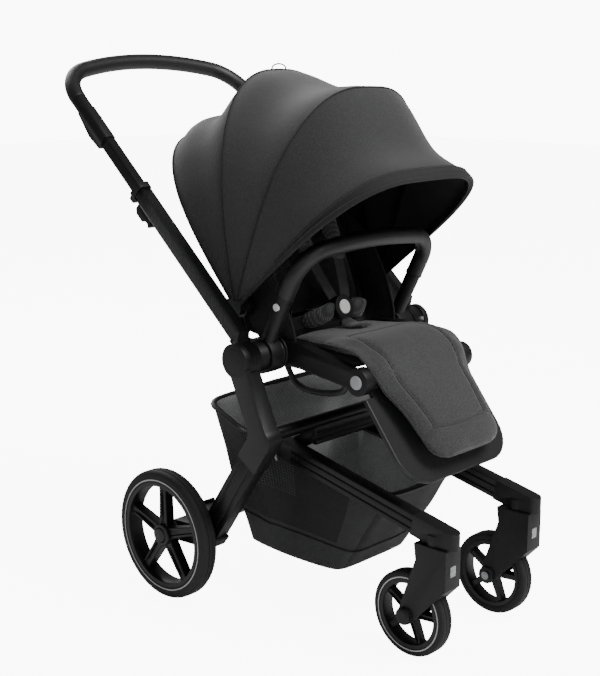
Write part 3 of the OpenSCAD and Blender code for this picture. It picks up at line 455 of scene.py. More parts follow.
def wheel(label, side, centre, r, w, inner, hub, ring, body, start):
    """one wheel: rim barrel and hub, spokes, tyre with its pale ring, and tread grooves"""
    at = (abs(centre[0]) - w / 2, centre[1], centre[2])
    lip = inner - 0.2
    barrel = lathe([(lip - 8, 3), (lip - 7, 1), (lip, 1), (lip, w - 1), (lip - 7, w - 1), (lip - 8, w - 3),
                    (lip - 7.4, w / 2), (lip - 8, 3)], at, 96)
    boss = lathe([(hub[1], 0.5), (hub[0] - 2, 0.5), (hub[0], 2.5), (hub[0], w - 2.5),
                  (hub[0] - 1.6, w - 0.6), (hub[0] * 0.72, w - 0.2),
                  (hub[0] * 0.68, w - 1.4), (hub[0] * 0.6, w + hub[2]), (hub[0] * 0.45, w + hub[2] + 0.6),
                  (0 if hub[2] else hub[1], w + hub[2] + 0.6),
                  (0 if hub[2] else hub[1], w - 9), (hub[1], w - 9), (hub[1], 0.5)], at, 48)
    rim = made(label + "_rim_body", [barrel, boss], rim_mat, flip=side < 0)
    leaf = spoke(hub[0] - 2.5, lip - 5, hub[3], hub[4], -w * 0.28, w * 0.3, w * 0.13)
    leaf = ([(side * x, y, z) for x, y, z in leaf[0]], leaf[1] if side > 0 else [f[::-1] for f in leaf[1]])
    spokes_made = repeat_round(label + "_spokes", leaf, 5, 0.0,
                               (side * abs(centre[0]), centre[1], centre[2]), rim_mat, 0.0, start)
    with_spokes = bmesh.new()
    with_spokes.from_mesh(rim.data)
    with_spokes.from_mesh(spokes_made.data)
    with_spokes.to_mesh(rim.data)
    with_spokes.free()
    bpy.data.objects.remove(spokes_made)
    smooth(rim.data, 32)
    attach(rim, body)
    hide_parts(label.replace("wheel", "rim"))
    s = (r - inner) * 0.46
    profile = [(inner + 0.1, 1.5), (inner + 1.5, 0.4), (ring - 1.6, 0.2), (ring - 1.4, 0.9),
               (ring + 1.4, 0.9), (ring + 1.6, 0.2)]
    for k in range(9):
        a = math.radians(10 + 80 * k / 8)
        profile.append((r - s + s * math.sin(a), s - s * math.cos(a) * 0.98))
    profile += [(r - 0.2, w * 0.36), (r - 1.1, w * 0.365), (r - 1.1, w * 0.395), (r - 0.05, w * 0.4),
                (r, w * 0.5)]
    profile += [(a, w - b) for a, b in profile[-2::-1]]
    profile.append(profile[0])
    tyre = lathe(profile, at, 128)
    halo = lathe([(ring - 1.4, 1.2), (ring - 1.2, 0.35), (ring, 0.1), (ring + 1.2, 0.35), (ring + 1.4, 1.2),
                  (ring - 1.4, 1.2)], at, 96)
    halo_out = ([(2 * abs(centre[0]) / 1000 - x, y, z) for x, y, z in halo[0]], halo[1])
    obj = made(label + "_tyre_body", [tyre, halo_out], rubber, ring_mat, flip=side < 0)
    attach(obj, body)
    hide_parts(label.replace("wheel", "tyre"))
    d = 0.45
    nub = ([(x / 1000, (y + d0) / 1000, z / 1000) for x, y, z, d0 in
            ((-w * 0.12, 0, -1.4, 0), (w * 0.12, 0, -1.4, 0), (w * 0.12, 0, 1.4, 0), (-w * 0.12, 0, 1.4, 0),
             (-w * 0.1, d, -0.9, 0), (w * 0.1, d, -0.9, 0), (w * 0.1, d, 0.9, 0), (-w * 0.1, d, 0.9, 0))],
           [(0, 3, 2, 1), (4, 5, 6, 7), (0, 1, 5, 4), (1, 2, 6, 5), (2, 3, 7, 6), (3, 0, 4, 7)])
    ribs = None
    for row, shift in ((-1, 0.0), (1, 0.5)):
        leaf = ([(x + row * w * 0.27 / 1000, y - 0.0004, z) for x, y, z in nub[0]], nub[1])
        count = round(2 * math.pi * r / 9)
        made_row = repeat_round(f"{label}_tread_{row + 1}", leaf, count, (r - 1.55) / 1000,
                                (side * abs(centre[0]), centre[1], centre[2]),
                                rubber, 0.0, shift * 2 * math.pi / count)
        if ribs is None:
            ribs = made_row
        else:
            both_rows = bmesh.new()
            both_rows.from_mesh(ribs.data)
            both_rows.from_mesh(made_row.data)
            both_rows.to_mesh(ribs.data)
            both_rows.free()
            bpy.data.objects.remove(made_row)
    ribs.name = label + "_tread"
    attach(ribs, body)


for side, name in ((1, "left"), (-1, "right")):
    wheel("rear_wheel_" + name, side, (262, 115.3, 128.8), 128.8, 37, 105.8, (22, 8.1, 2, 11.5, 8.5), 110.3,
          "rear_wheel_" + name, 0.31)
    wheel("front_wheel_" + name, side, (124, -391.7, 79.3), 79.3, 30, 64.4, (13, 5.1, 0, 6.8, 5.4), 67.2,
          "front_wheel_" + name, 0.55)
dress("brake_pedal", nylon, 1.5, 3)

# ---------------------------------------------------------------- push frame
# Two extruded tubes turn on the hubs and carry the telescopic handle. They are brushed and anodised nearly
# black, with nylon collars and a finger trigger under each that lets the frame fold.
push_finish = brushed("anodised_push_tube", "#1a1a1c", 0.3, (math.radians(48.2), 0, 0))
inner_finish = brushed("anodised_inner_tube", "#252527", 0.26, (math.radians(48.2), 0, 0))
for side in ("left", "right"):
    dress("push_tube_" + side, push_finish, 1.0)
    dress("fold_trigger_" + side, nylon, 1.6, 3)
dress("tube_collars", nylon, 1.6, 3)
dress("handle_tubes", inner_finish, 0.8)
dress("handle_sleeves", nylon, 1.6, 3)

# ---------------------------------------------------------------- push handle
# A bent steel tube in a foam sleeve, wrapped in black leatherette and sewn along its underside.
# The grain is fine pebbling; the seam is a raised lip with a row of stitches beside it.
leatherette, tree, shader = blank("black_leatherette", Roughness=0.48, Coat_Weight=0.08, Coat_Roughness=0.35)
place = add(tree, "ShaderNodeTexCoord")
# pebbles about 1.6 mm across, a little coarser than real so that they show
grain = add(tree, "ShaderNodeTexVoronoi", {"Vector": place.outputs["Object"], "Scale": 620.0},
            feature="DISTANCE_TO_EDGE")
worn = add(tree, "ShaderNodeTexNoise", {"Vector": place.outputs["Object"], "Scale": 18.0, "Detail": 4.0})
shade = add(tree, "ShaderNodeMix", {"Factor": worn.outputs["Fac"], "A": linear("#0a0a0a"),
                                    "B": linear("#111111")}, data_type="RGBA")
pebble = add(tree, "ShaderNodeBump", {"Height": grain.outputs["Distance"], "Strength": 0.5,
                                      "Distance": 0.0006})
tree.links.new(shade.outputs["Result"], shader.inputs["Base Color"])
tree.links.new(pebble.outputs["Normal"], shader.inputs["Normal"])
thread = coat("bonded_nylon_thread", "#262627", 0.55, 0.6, 0.05)


def bent(points, per=10, closed=False):
    """a smooth curve through 3-D points, centripetal enough for even spacing"""
    p = [np.array(q, float) for q in points]
    n = len(p)
    out = []
    for i in range(n if closed else n - 1):
        a = p[(i - 1) % n] if closed or i > 0 else 2 * p[0] - p[1]
        b, c = p[i], p[(i + 1) % n]
        d = p[(i + 2) % n] if closed or i < n - 2 else 2 * p[-1] - p[-2]
        for k in range(per):
            t = k / per
            out.append(0.5 * (2 * b + (c - a) * t + (2 * a - 5 * b + 4 * c - d) * t ** 2
                              + (3 * b - 3 * c + d - a) * t ** 3))
    if not closed:
        out.append(p[-1])
    return out


def tube(path, radius, sides=16, flat=1.0, up=(1, 0, 0), closed=False, round_ends=True):
    """a swept tube in metres; its radius in mm may vary, and flat squeezes it along up"""
    n = len(path)
    size = [radius(i / (n - 1)) if callable(radius) else radius for i in range(n)]
    tangents = []
    for i in range(n):
        a = path[(i - 1) % n] if closed else path[max(0, i - 1)]
        b = path[(i + 1) % n] if closed else path[min(n - 1, i + 1)]
        t = np.array(b) - np.array(a)
        tangents.append(t / np.linalg.norm(t))
    side = np.array(up, float)
    verts, faces = [], []
    stations = []
    if round_ends and not closed:
        for k in range(3):
            a = math.pi / 2 * k / 3
            stations.append((0, -size[0] * math.cos(a) * 0.5, math.sin(a)))
    stations += [(i, 0.0, 1.0) for i in range(n)]
    if round_ends and not closed:
        for k in (2, 1, 0):
            a = math.pi / 2 * k / 3
            stations.append((n - 1, size[-1] * math.cos(a) * 0.5, math.sin(a)))
    for i, along, shrink in stations:
        t = tangents[i]
        s = side - t * side.dot(t)
        if np.linalg.norm(s) < 1e-6:
            s = np.cross(t, (0.3, 0.9, 0.1))
        s /= np.linalg.norm(s)
        side = s
        b = np.cross(t, s)
        shrink = max(shrink, 0.02)
        for j in range(sides):
            a = 2 * math.pi * j / sides
            q = np.array(path[i]) + t * along + shrink * size[i] * (s * math.cos(a) * flat + b * math.sin(a))
            verts.append(tuple(q / 1000))
    m = len(stations)
    for i in range(m if closed else m - 1):
        for j in range(sides):
            a, b = i * sides + j, i * sides + (j + 1) % sides
            c, d = ((i + 1) % m) * sides + (j + 1) % sides, ((i + 1) % m) * sides + j
            faces.append((a, d, c, b))
    if not closed:
        faces.append(tuple(range(sides)))
        faces.append(tuple(range((m - 1) * sides, m * sides))[::-1])
    return verts, faces


def u_line(w, s0, s1, rc, rb, turn_steps=16, cross_steps=30):
    """the centre line of a bent U as (x, s) in mm: straight arms, round corners, gently arched cross part"""
    dx = w - rc
    drop = math.sqrt((rb - rc) ** 2 - dx * dx)
    sa = s1 - rb + drop
    half = math.asin(dx / (rb - rc))
    right = [(w, s0), (w, s0 + (sa - s0) * 0.5)]
    right += [(dx + rc * math.cos(a), sa + rc * math.sin(a))
              for a in np.linspace(0, math.pi / 2 - half, turn_steps)]
    cross = [(rb * math.cos(a), sa - drop + rb * math.sin(a))
             for a in np.linspace(math.pi / 2 - half, math.pi / 2 + half, cross_steps)][1:-1]
    return right + cross + [(-x, s) for x, s in right[::-1]]


def plane_point(at, degrees, x, s, n=0.0):
    """x across, s along a side-view direction from at, n towards its lower or rear face"""
    a = math.radians(degrees)
    return (x, at[0] + s * math.cos(a) + n * math.sin(a), at[1] + s * math.sin(a) - n * math.cos(a))


def stitches(name, path, pitch, length, thick, material):
    """Geometry Nodes: short threads laid along a path at an even pitch, realised"""
    tree = bpy.data.node_groups.new(name + "_row", "GeometryNodeTree")
    face = tree.interface
    face.new_socket("Geometry", in_out="INPUT", socket_type="NodeSocketGeometry")
    sizes = {}
    for label, value in (("Pitch", pitch / 1000), ("Stitch length", length / 1000),
                         ("Thread radius", thick / 2000)):
        sizes[label] = (face.new_socket(label, in_out="INPUT", socket_type="NodeSocketFloat").identifier,
                        value)
    face.new_socket("Geometry", in_out="OUTPUT", socket_type="NodeSocketGeometry")
    start = add(tree, "NodeGroupInput")
    curve = add(tree, "GeometryNodeMeshToCurve", {"Mesh": start.outputs["Geometry"]})
    even = add(tree, "GeometryNodeCurveToPoints", {"Curve": curve.outputs["Curve"],
        "Length": start.outputs["Pitch"]}, mode="LENGTH")
    thread_line = add(tree, "GeometryNodeMeshCylinder", {"Vertices": 6,
        "Radius": start.outputs["Thread radius"], "Depth": start.outputs["Stitch length"]})
    copies = add(tree, "GeometryNodeInstanceOnPoints", {"Points": even.outputs["Points"],
        "Instance": thread_line.outputs["Mesh"]})
    facing = add(tree, "FunctionNodeAlignRotationToVector", {"Vector": even.outputs["Tangent"]}, axis="Z")
    tree.links.new(facing.outputs["Rotation"], copies.inputs["Rotation"])
    real = add(tree, "GeometryNodeRealizeInstances", {"Geometry": copies.outputs["Instances"]})
    painted = add(tree, "GeometryNodeSetMaterial", {"Geometry": real.outputs["Geometry"],
        "Material": material})
    add(tree, "NodeGroupOutput", {"Geometry": painted.outputs["Geometry"]})
    mesh = bpy.data.meshes.new(name)
    mesh.from_pydata([tuple(np.array(p) / 1000) for p in path], [(i, i + 1) for i in range(len(path) - 1)],
                     [])
    obj = put(name, mesh, material)
    modifier = obj.modifiers.new("row", "NODES")
    modifier.node_group = tree
    for identifier, value in sizes.values():
        modifier[identifier] = value
    baked(obj)
    smooth(obj.data, 50)
    return obj


hub = (-81.7, 509)
handle_line = [plane_point(hub, 41.8, x, s, -22) for x, s in u_line(234, 652, 762, 85, 620)]
grip = made("handle_wrap", [tube(handle_line, lambda t: 16 - 0.5 * (t < 0.01 or t > 0.99), 28,
                                 round_ends=False)], leatherette)
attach(grip, "handle")
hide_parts("handle_grip")
lip = made("handle_seam", [tube(bent([plane_point(hub, 41.8, x, s, -22 + 15.4) for x, s in u_line(234, 660,
    762, 85, 620)][::3], 4), 1.1, 8)],
           leatherette, body="handle")
row = stitches("handle_stitches", [plane_point(hub, 41.8, x, s - 3.0, -22 + 15.2) for x,
                                   s in u_line(234, 668, 762, 85, 620)], 7.0, 4.6, 0.9, thread)
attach(row, "handle")

# round grey buttons of polished ABS that shorten the handle and free the legrest, with white ones on the
# bumper bar and the buckle; each is a shallow dome that sits proud of its housing
grey_button = coat("light_grey_abs_button", "#a6a8aa", 0.34, 0.8, 0.03, 0.04)
white_button = coat("white_abs_button", "#e2e2e0", 0.26, 0.8, 0.02, 0.03)
for side in ("left", "right"):
    dress("handle_button_" + side, grey_button, 0.8, 3)
    dress("legrest_button_" + side, grey_button, 1.6, 4)
    dress("bumper_button_" + side, white_button, 1.4, 4)

# ---------------------------------------------------------------- basket
# One deep bag of coated polyester, wide behind the legs and narrow between the front rails, with a padded
# binding round its rim, open-net pockets on the sides and a grey twill lining painted paler than it is, as
# painted light. It hangs and sags.
def woven(name, dark, light, thread_mm, rough=0.85, sheen=0.25, melange=0.5, diagonal=0.0, relief=0.5,
          uv=True):
    """plain or twill cloth on the piece's own UV map in metres, with flecks of the lighter yarn"""
    mat, tree, shader = blank(name, Roughness=rough, Sheen_Weight=sheen, Sheen_Roughness=0.45)
    place = add(tree, "ShaderNodeTexCoord")
    where = place.outputs["UV"] if uv else place.outputs["Object"]
    turned = add(tree, "ShaderNodeMapping", {"Vector": where, "Rotation": (0, 0, math.radians(diagonal))})
    k = math.pi / (thread_mm / 1000) / 10
    warp = add(tree, "ShaderNodeTexWave", {"Vector": turned.outputs["Vector"], "Scale": k,
                                           "Distortion": 0.6, "Detail": 1.0, "Detail Scale": 4.0},
               bands_direction="X")
    weft = add(tree, "ShaderNodeTexWave", {"Vector": turned.outputs["Vector"], "Scale": k,
                                           "Distortion": 0.6, "Detail": 1.0, "Detail Scale": 4.0},
               bands_direction="Y")
    over = add(tree, "ShaderNodeMath", {0: warp.outputs["Fac"], 1: weft.outputs["Fac"]},
               operation="MULTIPLY" if not diagonal else "MAXIMUM")
    fleck = add(tree, "ShaderNodeTexNoise", {"Vector": place.outputs["Object"], "Scale": 420.0,
                                             "Detail": 2.0})
    slow = add(tree, "ShaderNodeTexNoise", {"Vector": place.outputs["Object"], "Scale": 7.0, "Detail": 2.0})
    spots = add(tree, "ShaderNodeMapRange", {"Value": fleck.outputs["Fac"], "From Min": 0.38,
                                             "From Max": 0.66})
    both = add(tree, "ShaderNodeMix", {"Factor": melange, "A": over.outputs["Value"],
                                       "B": spots.outputs["Result"]})
    tint = add(tree, "ShaderNodeMix", {"Factor": both.outputs["Result"], "A": linear(dark),
                                       "B": linear(light)}, data_type="RGBA")
    worn = add(tree, "ShaderNodeMapRange", {"Value": slow.outputs["Fac"], "From Min": 0.3, "From Max": 0.7,
                                            "To Min": 0.88, "To Max": 1.1})
    final = add(tree, "ShaderNodeVectorMath", {0: tint.outputs["Result"], "Scale": worn.outputs["Result"]},
                operation="SCALE")
    bump = add(tree, "ShaderNodeBump", {"Height": both.outputs["Result"], "Strength": relief,
                                        "Distance": 0.0008})
    tree.links.new(final.outputs["Vector"], shader.inputs["Base Color"])
    tree.links.new(bump.outputs["Normal"], shader.inputs["Normal"])
    return mat


# coated polyester: dark, slightly shiny, 1.5 mm threads; its wipe-clean lower panel is a shade lighter
coated = woven("coated_polyester_dark", "#0d0d0e", "#161617", 3.0, 0.75, 0.03, 0.4)
coated_light = woven("coated_polyester_grey", "#272828", "#343535", 3.0, 0.75, 0.04, 0.5)
# twill lining: grey diagonal ribs, drawn 4 mm wide so that they show; both greys are painted far paler than
# the real cloth, as painted light for the light that falls into the basket
twill = woven("painted_light_twill_lining", "#a0a1a2", "#d2d3d4", 4.0, 0.9, 0.2, 0.35, 45.0)

net, tree, shader = blank("open_pocket_net", Roughness=0.85)
place = add(tree, "ShaderNodeTexCoord")
# the net's holes are 5 mm apart over a dark backing
eyes = add(tree, "ShaderNodeTexVoronoi", {"Vector": place.outputs["UV"], "Scale": 200.0, "Randomness": 0.0},
           feature="F1", voronoi_dimensions="2D")
open_part = add(tree, "ShaderNodeMapRange", {"Value": eyes.outputs["Distance"], "From Min": 0.25,
                                             "From Max": 0.42})
shade = add(tree, "ShaderNodeMix", {"Factor": open_part.outputs["Result"], "A": linear("#070707"),
                                    "B": linear("#323334")}, data_type="RGBA")
lift = add(tree, "ShaderNodeBump", {"Height": open_part.outputs["Result"], "Strength": 0.7,
                                    "Distance": 0.001})
tree.links.new(shade.outputs["Result"], shader.inputs["Base Color"])
tree.links.new(lift.outputs["Normal"], shader.inputs["Normal"])


def chaikin(points, turns=2):
    """rounds the corners of a closed line of points"""
    p = [np.array(q, float) for q in points]
    for _ in range(turns):
        p = [q for i in range(len(p)) for q in (0.75 * p[i] + 0.25 * p[(i + 1) % len(p)], 0.25 * p[i]
                                                + 0.75 * p[(i + 1) % len(p)])]
    return p


def grid_mesh(name, rows, materials, pick=None, closed=False, uv_scale=1.0):
    """a mesh over rows of points in mm with a UV map in metres along and across the cloth"""
    m, n = len(rows), len(rows[0])
    bm = bmesh.new()
    layer = bm.loops.layers.uv.new("cloth")
    grid = [[bm.verts.new(tuple(np.array(p) / 1000)) for p in row] for row in rows]
    across = np.cumsum([0] + [np.linalg.norm(np.array(rows[m // 2][(j
        + 1) % n]) - np.array(rows[m // 2][j])) for j in range(n)]) / 1000
    along = np.cumsum([0] + [np.linalg.norm(np.array(rows[i + 1][n // 3]) - np.array(rows[i][n // 3]))
                             for i in range(m - 1)]) / 1000
    for i in range(m - 1):
        for j in range(n if closed else n - 1):
            k = (j + 1) % n
            face = bm.faces.new((grid[i][j], grid[i][k], grid[i + 1][k], grid[i + 1][j]))
            face.smooth = True
            if pick:
                face.material_index = pick(i, j)
            for loop, (a, b) in zip(face.loops, ((across[j], along[i]), (across[j + 1], along[i]),
                                                 (across[j + 1], along[i + 1]), (across[j], along[i + 1]))):
                loop[layer].uv = (a * uv_scale, b * uv_scale)
    mesh = bpy.data.meshes.new(name)
    bm.to_mesh(mesh)
    bm.free()
    return put(name, mesh, *materials)


def thicken(obj, mm, offset=-1.0, levels=0, index=0):
    """gives a cloth its wall and, if asked, subdivides it"""
    if levels:
        finer = obj.modifiers.new("finer", "SUBSURF")
        finer.levels = finer.render_levels = levels
    wall = obj.modifiers.new("wall", "SOLIDIFY")
    wall.thickness = mm / 1000
    wall.offset = offset
    wall.material_offset = index
    wall.material_offset_rim = 0
    return baked(obj)


def flat_area(obj):
    """area of one face of a cloth, before its wall, in square metres"""
    return sum(p.area for p in obj.data.polygons)


half_rim = [(0, 66, 398), (-120, 66, 398), (-196, 62, 394), (-199, 10, 376), (-199, -34, 358),
            (-160, -46, 338), (-106, -50, 306), (-101, -120, 298),
            (-101, -220, 282), (-100, -306, 269), (-60, -313, 267)]
half_floor = [(0, 53, 92), (-60, 53, 90), (-98, 52, 90), (-101, 20, 87), (-101, -20, 85), (-101, -44, 84),
              (-101, -80, 84), (-101, -120, 85),
              (-100, -165, 87), (-96, -194, 90), (-50, -197, 90)]


def whole(half):
    return [q for q in half] + [(0, half[-1][1], half[-1][2])] + [(-x, y, z) for x, y, z in half[:0:-1]]


rim_line, floor_line = chaikin(whole(half_rim)), chaikin(whole(half_floor))
count = len(rim_line)
rows = []
for i in range(25):
    v = i / 24
    row = []
    for j in range(count):
        a, b = rim_line[j], floor_line[j]
        p = a * (1 - v) + b * v
        middle = np.array((0, -70, p[2]))
        out = p - middle
        out /= np.linalg.norm(out)
        sag = 5.0 * math.sin(math.pi * v) * (0.6 + 0.4 * math.sin(j * 0.9)) + 2.0 * math.sin(9 * v
            + j * 0.35) * math.sin(math.pi * v)
        if abs(p[0]) > 98 and p[1] < -46:
            out[0] *= 0.1
        row.append(p + out * sag * 0.8)
    rows.append(row)
bottom = sum(floor_line) / count
for i in range(1, 8):
    v = i / 7
    rows.append([floor_line[j] * (1 - 0.999 * v) + bottom * 0.999 * v
                 + np.array((0, 0, -4 * math.sin(math.pi * v / 2))) for j in range(count)])


def panel_of(i, j):
    """dark cloth at the front and back, net high on the sides, a paler wipe-clean panel low and forward"""
    x, y, _ = rim_line[j]
    if i >= 24:
        return 1
    if abs(x) < 95 or y > 55:
        return 0
    if i >= 17 or y < -215:
        return 1
    return 2 if i < 10 and y > -75 else 0


bag = grid_mesh("basket_shell", rows, (coated, coated_light, net), panel_of, closed=True)
inner_rows = [[np.array(p) + (np.array((0, -70, np.array(p)[2] + (8 if i > 20
    else 0))) - np.array(p)) * 0.022 + np.array((0, 0, 2.2 if i > 20 else 0)) for p in row]
              for i, row in enumerate(rows)]
lining = grid_mesh("basket_lining", inner_rows, (twill,), None, closed=True)
area = flat_area(bag)
bag_area, lining_area = area, flat_area(lining)
thicken(bag, 1.2, 1.0)
thicken(lining, 0.8, 1.0)
rim_tube = made("basket_binding", [tube(rim_line, 6.0, 12, flat=0.55, up=(0, 0, 1), closed=True)],
                leatherette, body="chassis")
seam_line = [np.array(rows[18][j]) for j in range(count)]
belt = made("basket_seam", [tube([np.array(p) + (np.array(p) - np.array((0, -70, p[2]))) * 0.012
                                  for p in seam_line], 1.3, 6, closed=True)], coated, body="chassis")
for obj, area in ((bag, bag_area), (lining, lining_area)):
    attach(obj, "chassis")
    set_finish(obj, "basket_fabric")
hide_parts("basket")
for side in (1, -1):
    name = "left" if side > 0 else "right"
    loop = [(side * 196, -44, 349), (side * 205, -70, 347), (side * 212, -100, 345), (side * 214, -125, 344)]
    made("basket_strap_" + name, [tube(bent(loop, 6), 8.0, 12, flat=0.16, up=(1, 0, 0))], coated,
         body="chassis")

# ---------------------------------------------------------------- seat frame
# Moulded nylon side rails turn on the hub barrels and carry the legrest; a soft strap loops under each.
for node, edge in (("seat_adapters", 1.6), ("seat_frame", 3.0), ("back_brackets", 1.2),
                   ("canopy_mounts", 1.2), ("buckle", 2.0)):
    dress(node, nylon, edge, 3)
dress("buckle_button", white_button, 1.2, 4)
for side in (1, -1):
    name = "left" if side > 0 else "right"
    line = bent([(side * 124, y, z) for y, z in ((-77.7, 482), (-106.7, 446), (-161.7, 440), (-218.7, 452),
                                                 (-234.7, 479))], 8)
    hoop = made("under_strap_" + name, [tube(line, 6.0, 14, flat=0.9)], leatherette, body="seat")
    if side > 0:
        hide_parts("seat_hoop")
back_foot, back_lean = (-41.7, 500), 67
line = [plane_point(back_foot, back_lean, x, s, 12.4) for x, s in u_line(172, 12, 416, 110, 1600)]
back_bow = made("back_bow", [tube(line, 9.0, 20, round_ends=False)], powder_coat, body="seat")
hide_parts("back_frame")

# ---------------------------------------------------------------- padding
# The liner is foam quilted between two layers of charcoal melange: one long pad over the seat's front edge
# and down the legrest, with piped seams round a centre panel. The backrest has its own quilted pad, in a
# darker cloth whose darkness is painted shade from the canopy.
melange = woven("charcoal_melange_liner", "#262627", "#3e3e3f", 2.6, 0.92, 0.35, 0.75, 0.0, 0.35, uv=False)
melange_panel = woven("charcoal_melange_panel", "#202021", "#333334", 2.6, 0.92, 0.35, 0.75, 0.0, 0.35,
                      uv=False)
# the backrest, its wings and the seat deck wear this darker copy of the seat cloth; its darkness is painted
# shade, the shade the canopy casts on the back
shadow_cloth = woven("painted_shade_seat_cloth", "#0e0e0f", "#1b1b1c", 2.6, 0.92, 0.15, 0.6, 0.0, 0.3, uv=False)


def swell(obj, voxel_mm, pressure, cap_mm, ease=4):
    """remeshes a pad, swells it as cloth under pressure, holds every point within cap, and eases it"""
    remesh = obj.modifiers.new("even", "REMESH")
    remesh.mode = "VOXEL"
    remesh.voxel_size = voxel_mm / 1000
    baked(obj)
    rest = np.empty(len(obj.data.vertices) * 3)
    obj.data.vertices.foreach_get("co", rest)
    rest = rest.reshape(-1, 3)
    cloth = obj.modifiers.new("cloth", "CLOTH")
    cloth.settings.quality = 5
    cloth.settings.mass = 0.2
    cloth.settings.tension_stiffness = cloth.settings.compression_stiffness = 12
    cloth.settings.bending_stiffness = 0.6
    cloth.settings.use_pressure = True
    cloth.settings.uniform_pressure_force = pressure
    cloth.settings.effector_weights.gravity = 0
    cloth.collision_settings.use_collision = False
    scene = bpy.context.scene
    for frame_number in range(1, 21):
        scene.frame_set(frame_number)
        obj.evaluated_get(bpy.context.evaluated_depsgraph_get())
    baked(obj)
    scene.frame_set(1)
    now = np.empty(len(obj.data.vertices) * 3)
    obj.data.vertices.foreach_get("co", now)
    move = now.reshape(-1, 3) - rest
    far = np.linalg.norm(move, axis=1, keepdims=True)
    move *= np.minimum(1, cap_mm / 1000 / np.maximum(far, 1e-9))
    obj.data.vertices.foreach_set("co", (rest + move).ravel())
    eased = obj.modifiers.new("eased", "SMOOTH")
    eased.factor = 0.5
    eased.iterations = ease
    finer = obj.modifiers.new("finer", "SUBSURF")
    finer.levels = finer.render_levels = 1
    return baked(obj)


def press(obj, lines, width_mm, depth_mm):
    """sews channels: pushes the surface in along 3-D lines, within width of them"""
    from mathutils.kdtree import KDTree
    tree = KDTree(sum(len(l) for l in lines))
    k = 0
    for l in lines:
        for p in l:
            tree.insert(Vector(p) / 1000, k)
            k += 1
    tree.balance()
    normals = [v.normal.copy() for v in obj.data.vertices]
    for v, n in zip(obj.data.vertices, normals):
        _, _, d = tree.find(v.co)
        if d < width_mm / 1000 * 2.5:
            v.co -= n * depth_mm / 1000 * math.exp(-(d * 1000 / width_mm) ** 2)
    obj.data.update()


def onto(obj, points, lift_mm=0.0, way=(0, 0, -1), reach=0.08):
    """drops points in mm onto a piece along a direction and lifts them off its surface"""
    tree = BVHTree.FromPolygons([v.co for v in obj.data.vertices], [p.vertices for p in obj.data.polygons])
    out = []
    for p in points:
        w = Vector(p[3]) if len(p) > 3 else Vector(way)
        hit, normal, _, _ = tree.ray_cast(Vector(p[:3]) / 1000 - w.normalized() * reach, w.normalized())
        if hit:
            out.append(tuple((hit + normal * lift_mm / 1000) * 1000))
    return out


def profile_at(table, t):
    """smooth lookup of a table of (t, value...) rows"""
    ts = [r[0] for r in table]
    return [float(np.interp(t, ts, [r[k] for r in table])) for k in range(1, len(table[0]))]


pivot, droop = (-279.7, 485), math.radians(52)
down = np.array((-math.cos(droop), -math.sin(droop)))
front = np.array((-math.sin(droop), math.cos(droop)))


def leg_point(s, t):
    return tuple(np.array(pivot) + s * down + t * front)


top_line = bent([(-74, 530, 0), (-120, 533, 0), (-175, 539, 0), (-225, 545, 0), (-262, 541, 0),
                 (-296, 520, 0), (*leg_point(30, 33), 0), (*leg_point(80, 39), 0),
                 (*leg_point(140, 42), 0), (*leg_point(190, 41), 0)], 6)
low_line = bent([(-74, 513.5, 0), (-120, 513.5, 0), (-175, 514, 0), (-225, 515, 0), (-262, 514, 0),
                 (-282, 502, 0), (*leg_point(34, 6), 0), (*leg_point(80, 11), 0),
                 (*leg_point(140, 15), 0), (*leg_point(190, 16), 0)], 6)
stations = len(top_line)
widths = [(0.0, 112), (0.18, 122), (0.36, 140), (0.5, 147), (0.6, 143), (0.7, 129), (0.8, 118), (0.9, 111),
          (0.95, 105), (0.98, 93), (1.0, 70)]
verts, faces = [], []
ring = 36
for i in range(stations):
    t = i / (stations - 1)
    w = profile_at(widths, t)[0] - 3
    (ty, tz, _), (ly, lz, _) = top_line[i], low_line[i]
    thick = math.hypot(ty - ly, tz - lz)
    for j in range(ring):
        a = 2 * math.pi * j / ring
        c, s = math.cos(a), math.sin(a)
        x = w * math.copysign(abs(c) ** 0.55, c)
        e = abs(x) / w
        thin = 1 - 0.5 * max(0, (abs(x) - 84) / 60) ** 1.2 if t < 0.66 else 1 - 0.22 * e ** 3
        up_share = 0.5 + 0.5 * math.copysign(abs(s) ** 0.75, s)
        rise_side = (1 - thin) * (0.75 if t < 0.66 else 0.3)
        share = rise_side + up_share * (1 - rise_side) * (1 if t > 0.66 else (0.9 + 0.1 * thin))
        side_lift = 4.5 * max(0, (abs(x) - 100) / 45) if 0.15 < t < 0.62 else 0
        verts.append((x / 1000, (ly + (ty - ly) * share) / 1000,
                      (lz + (tz - lz) * share + side_lift * (1 if t < 0.5 else 0.4)) / 1000))
for i in range(stations - 1):
    for j in range(ring):
        a, b = i * ring + j, i * ring + (j + 1) % ring
        faces.append((a, b, b + ring, a + ring))
faces.append(tuple(range(ring))[::-1])
faces.append(tuple(range((stations - 1) * ring, stations * ring)))
liner = made("seat_liner", [(verts, faces)], melange)
swell(liner, 5.0, 4.0, 5.0, 14)


def on_leg(x, s):
    y, z = leg_point(s, 45)
    return (x, y, z, (0, -front[0], -front[1]))


def on_seat(x, y):
    return (x, y, 560, (0, 0, -1))


def over_edge(x, k):
    a = math.radians(90 + 38 * k)
    return (x, pivot[0] + 12 + 70 * math.cos(a), pivot[1] + 70 * math.sin(a), (0, -math.cos(a), -math.sin(a)))


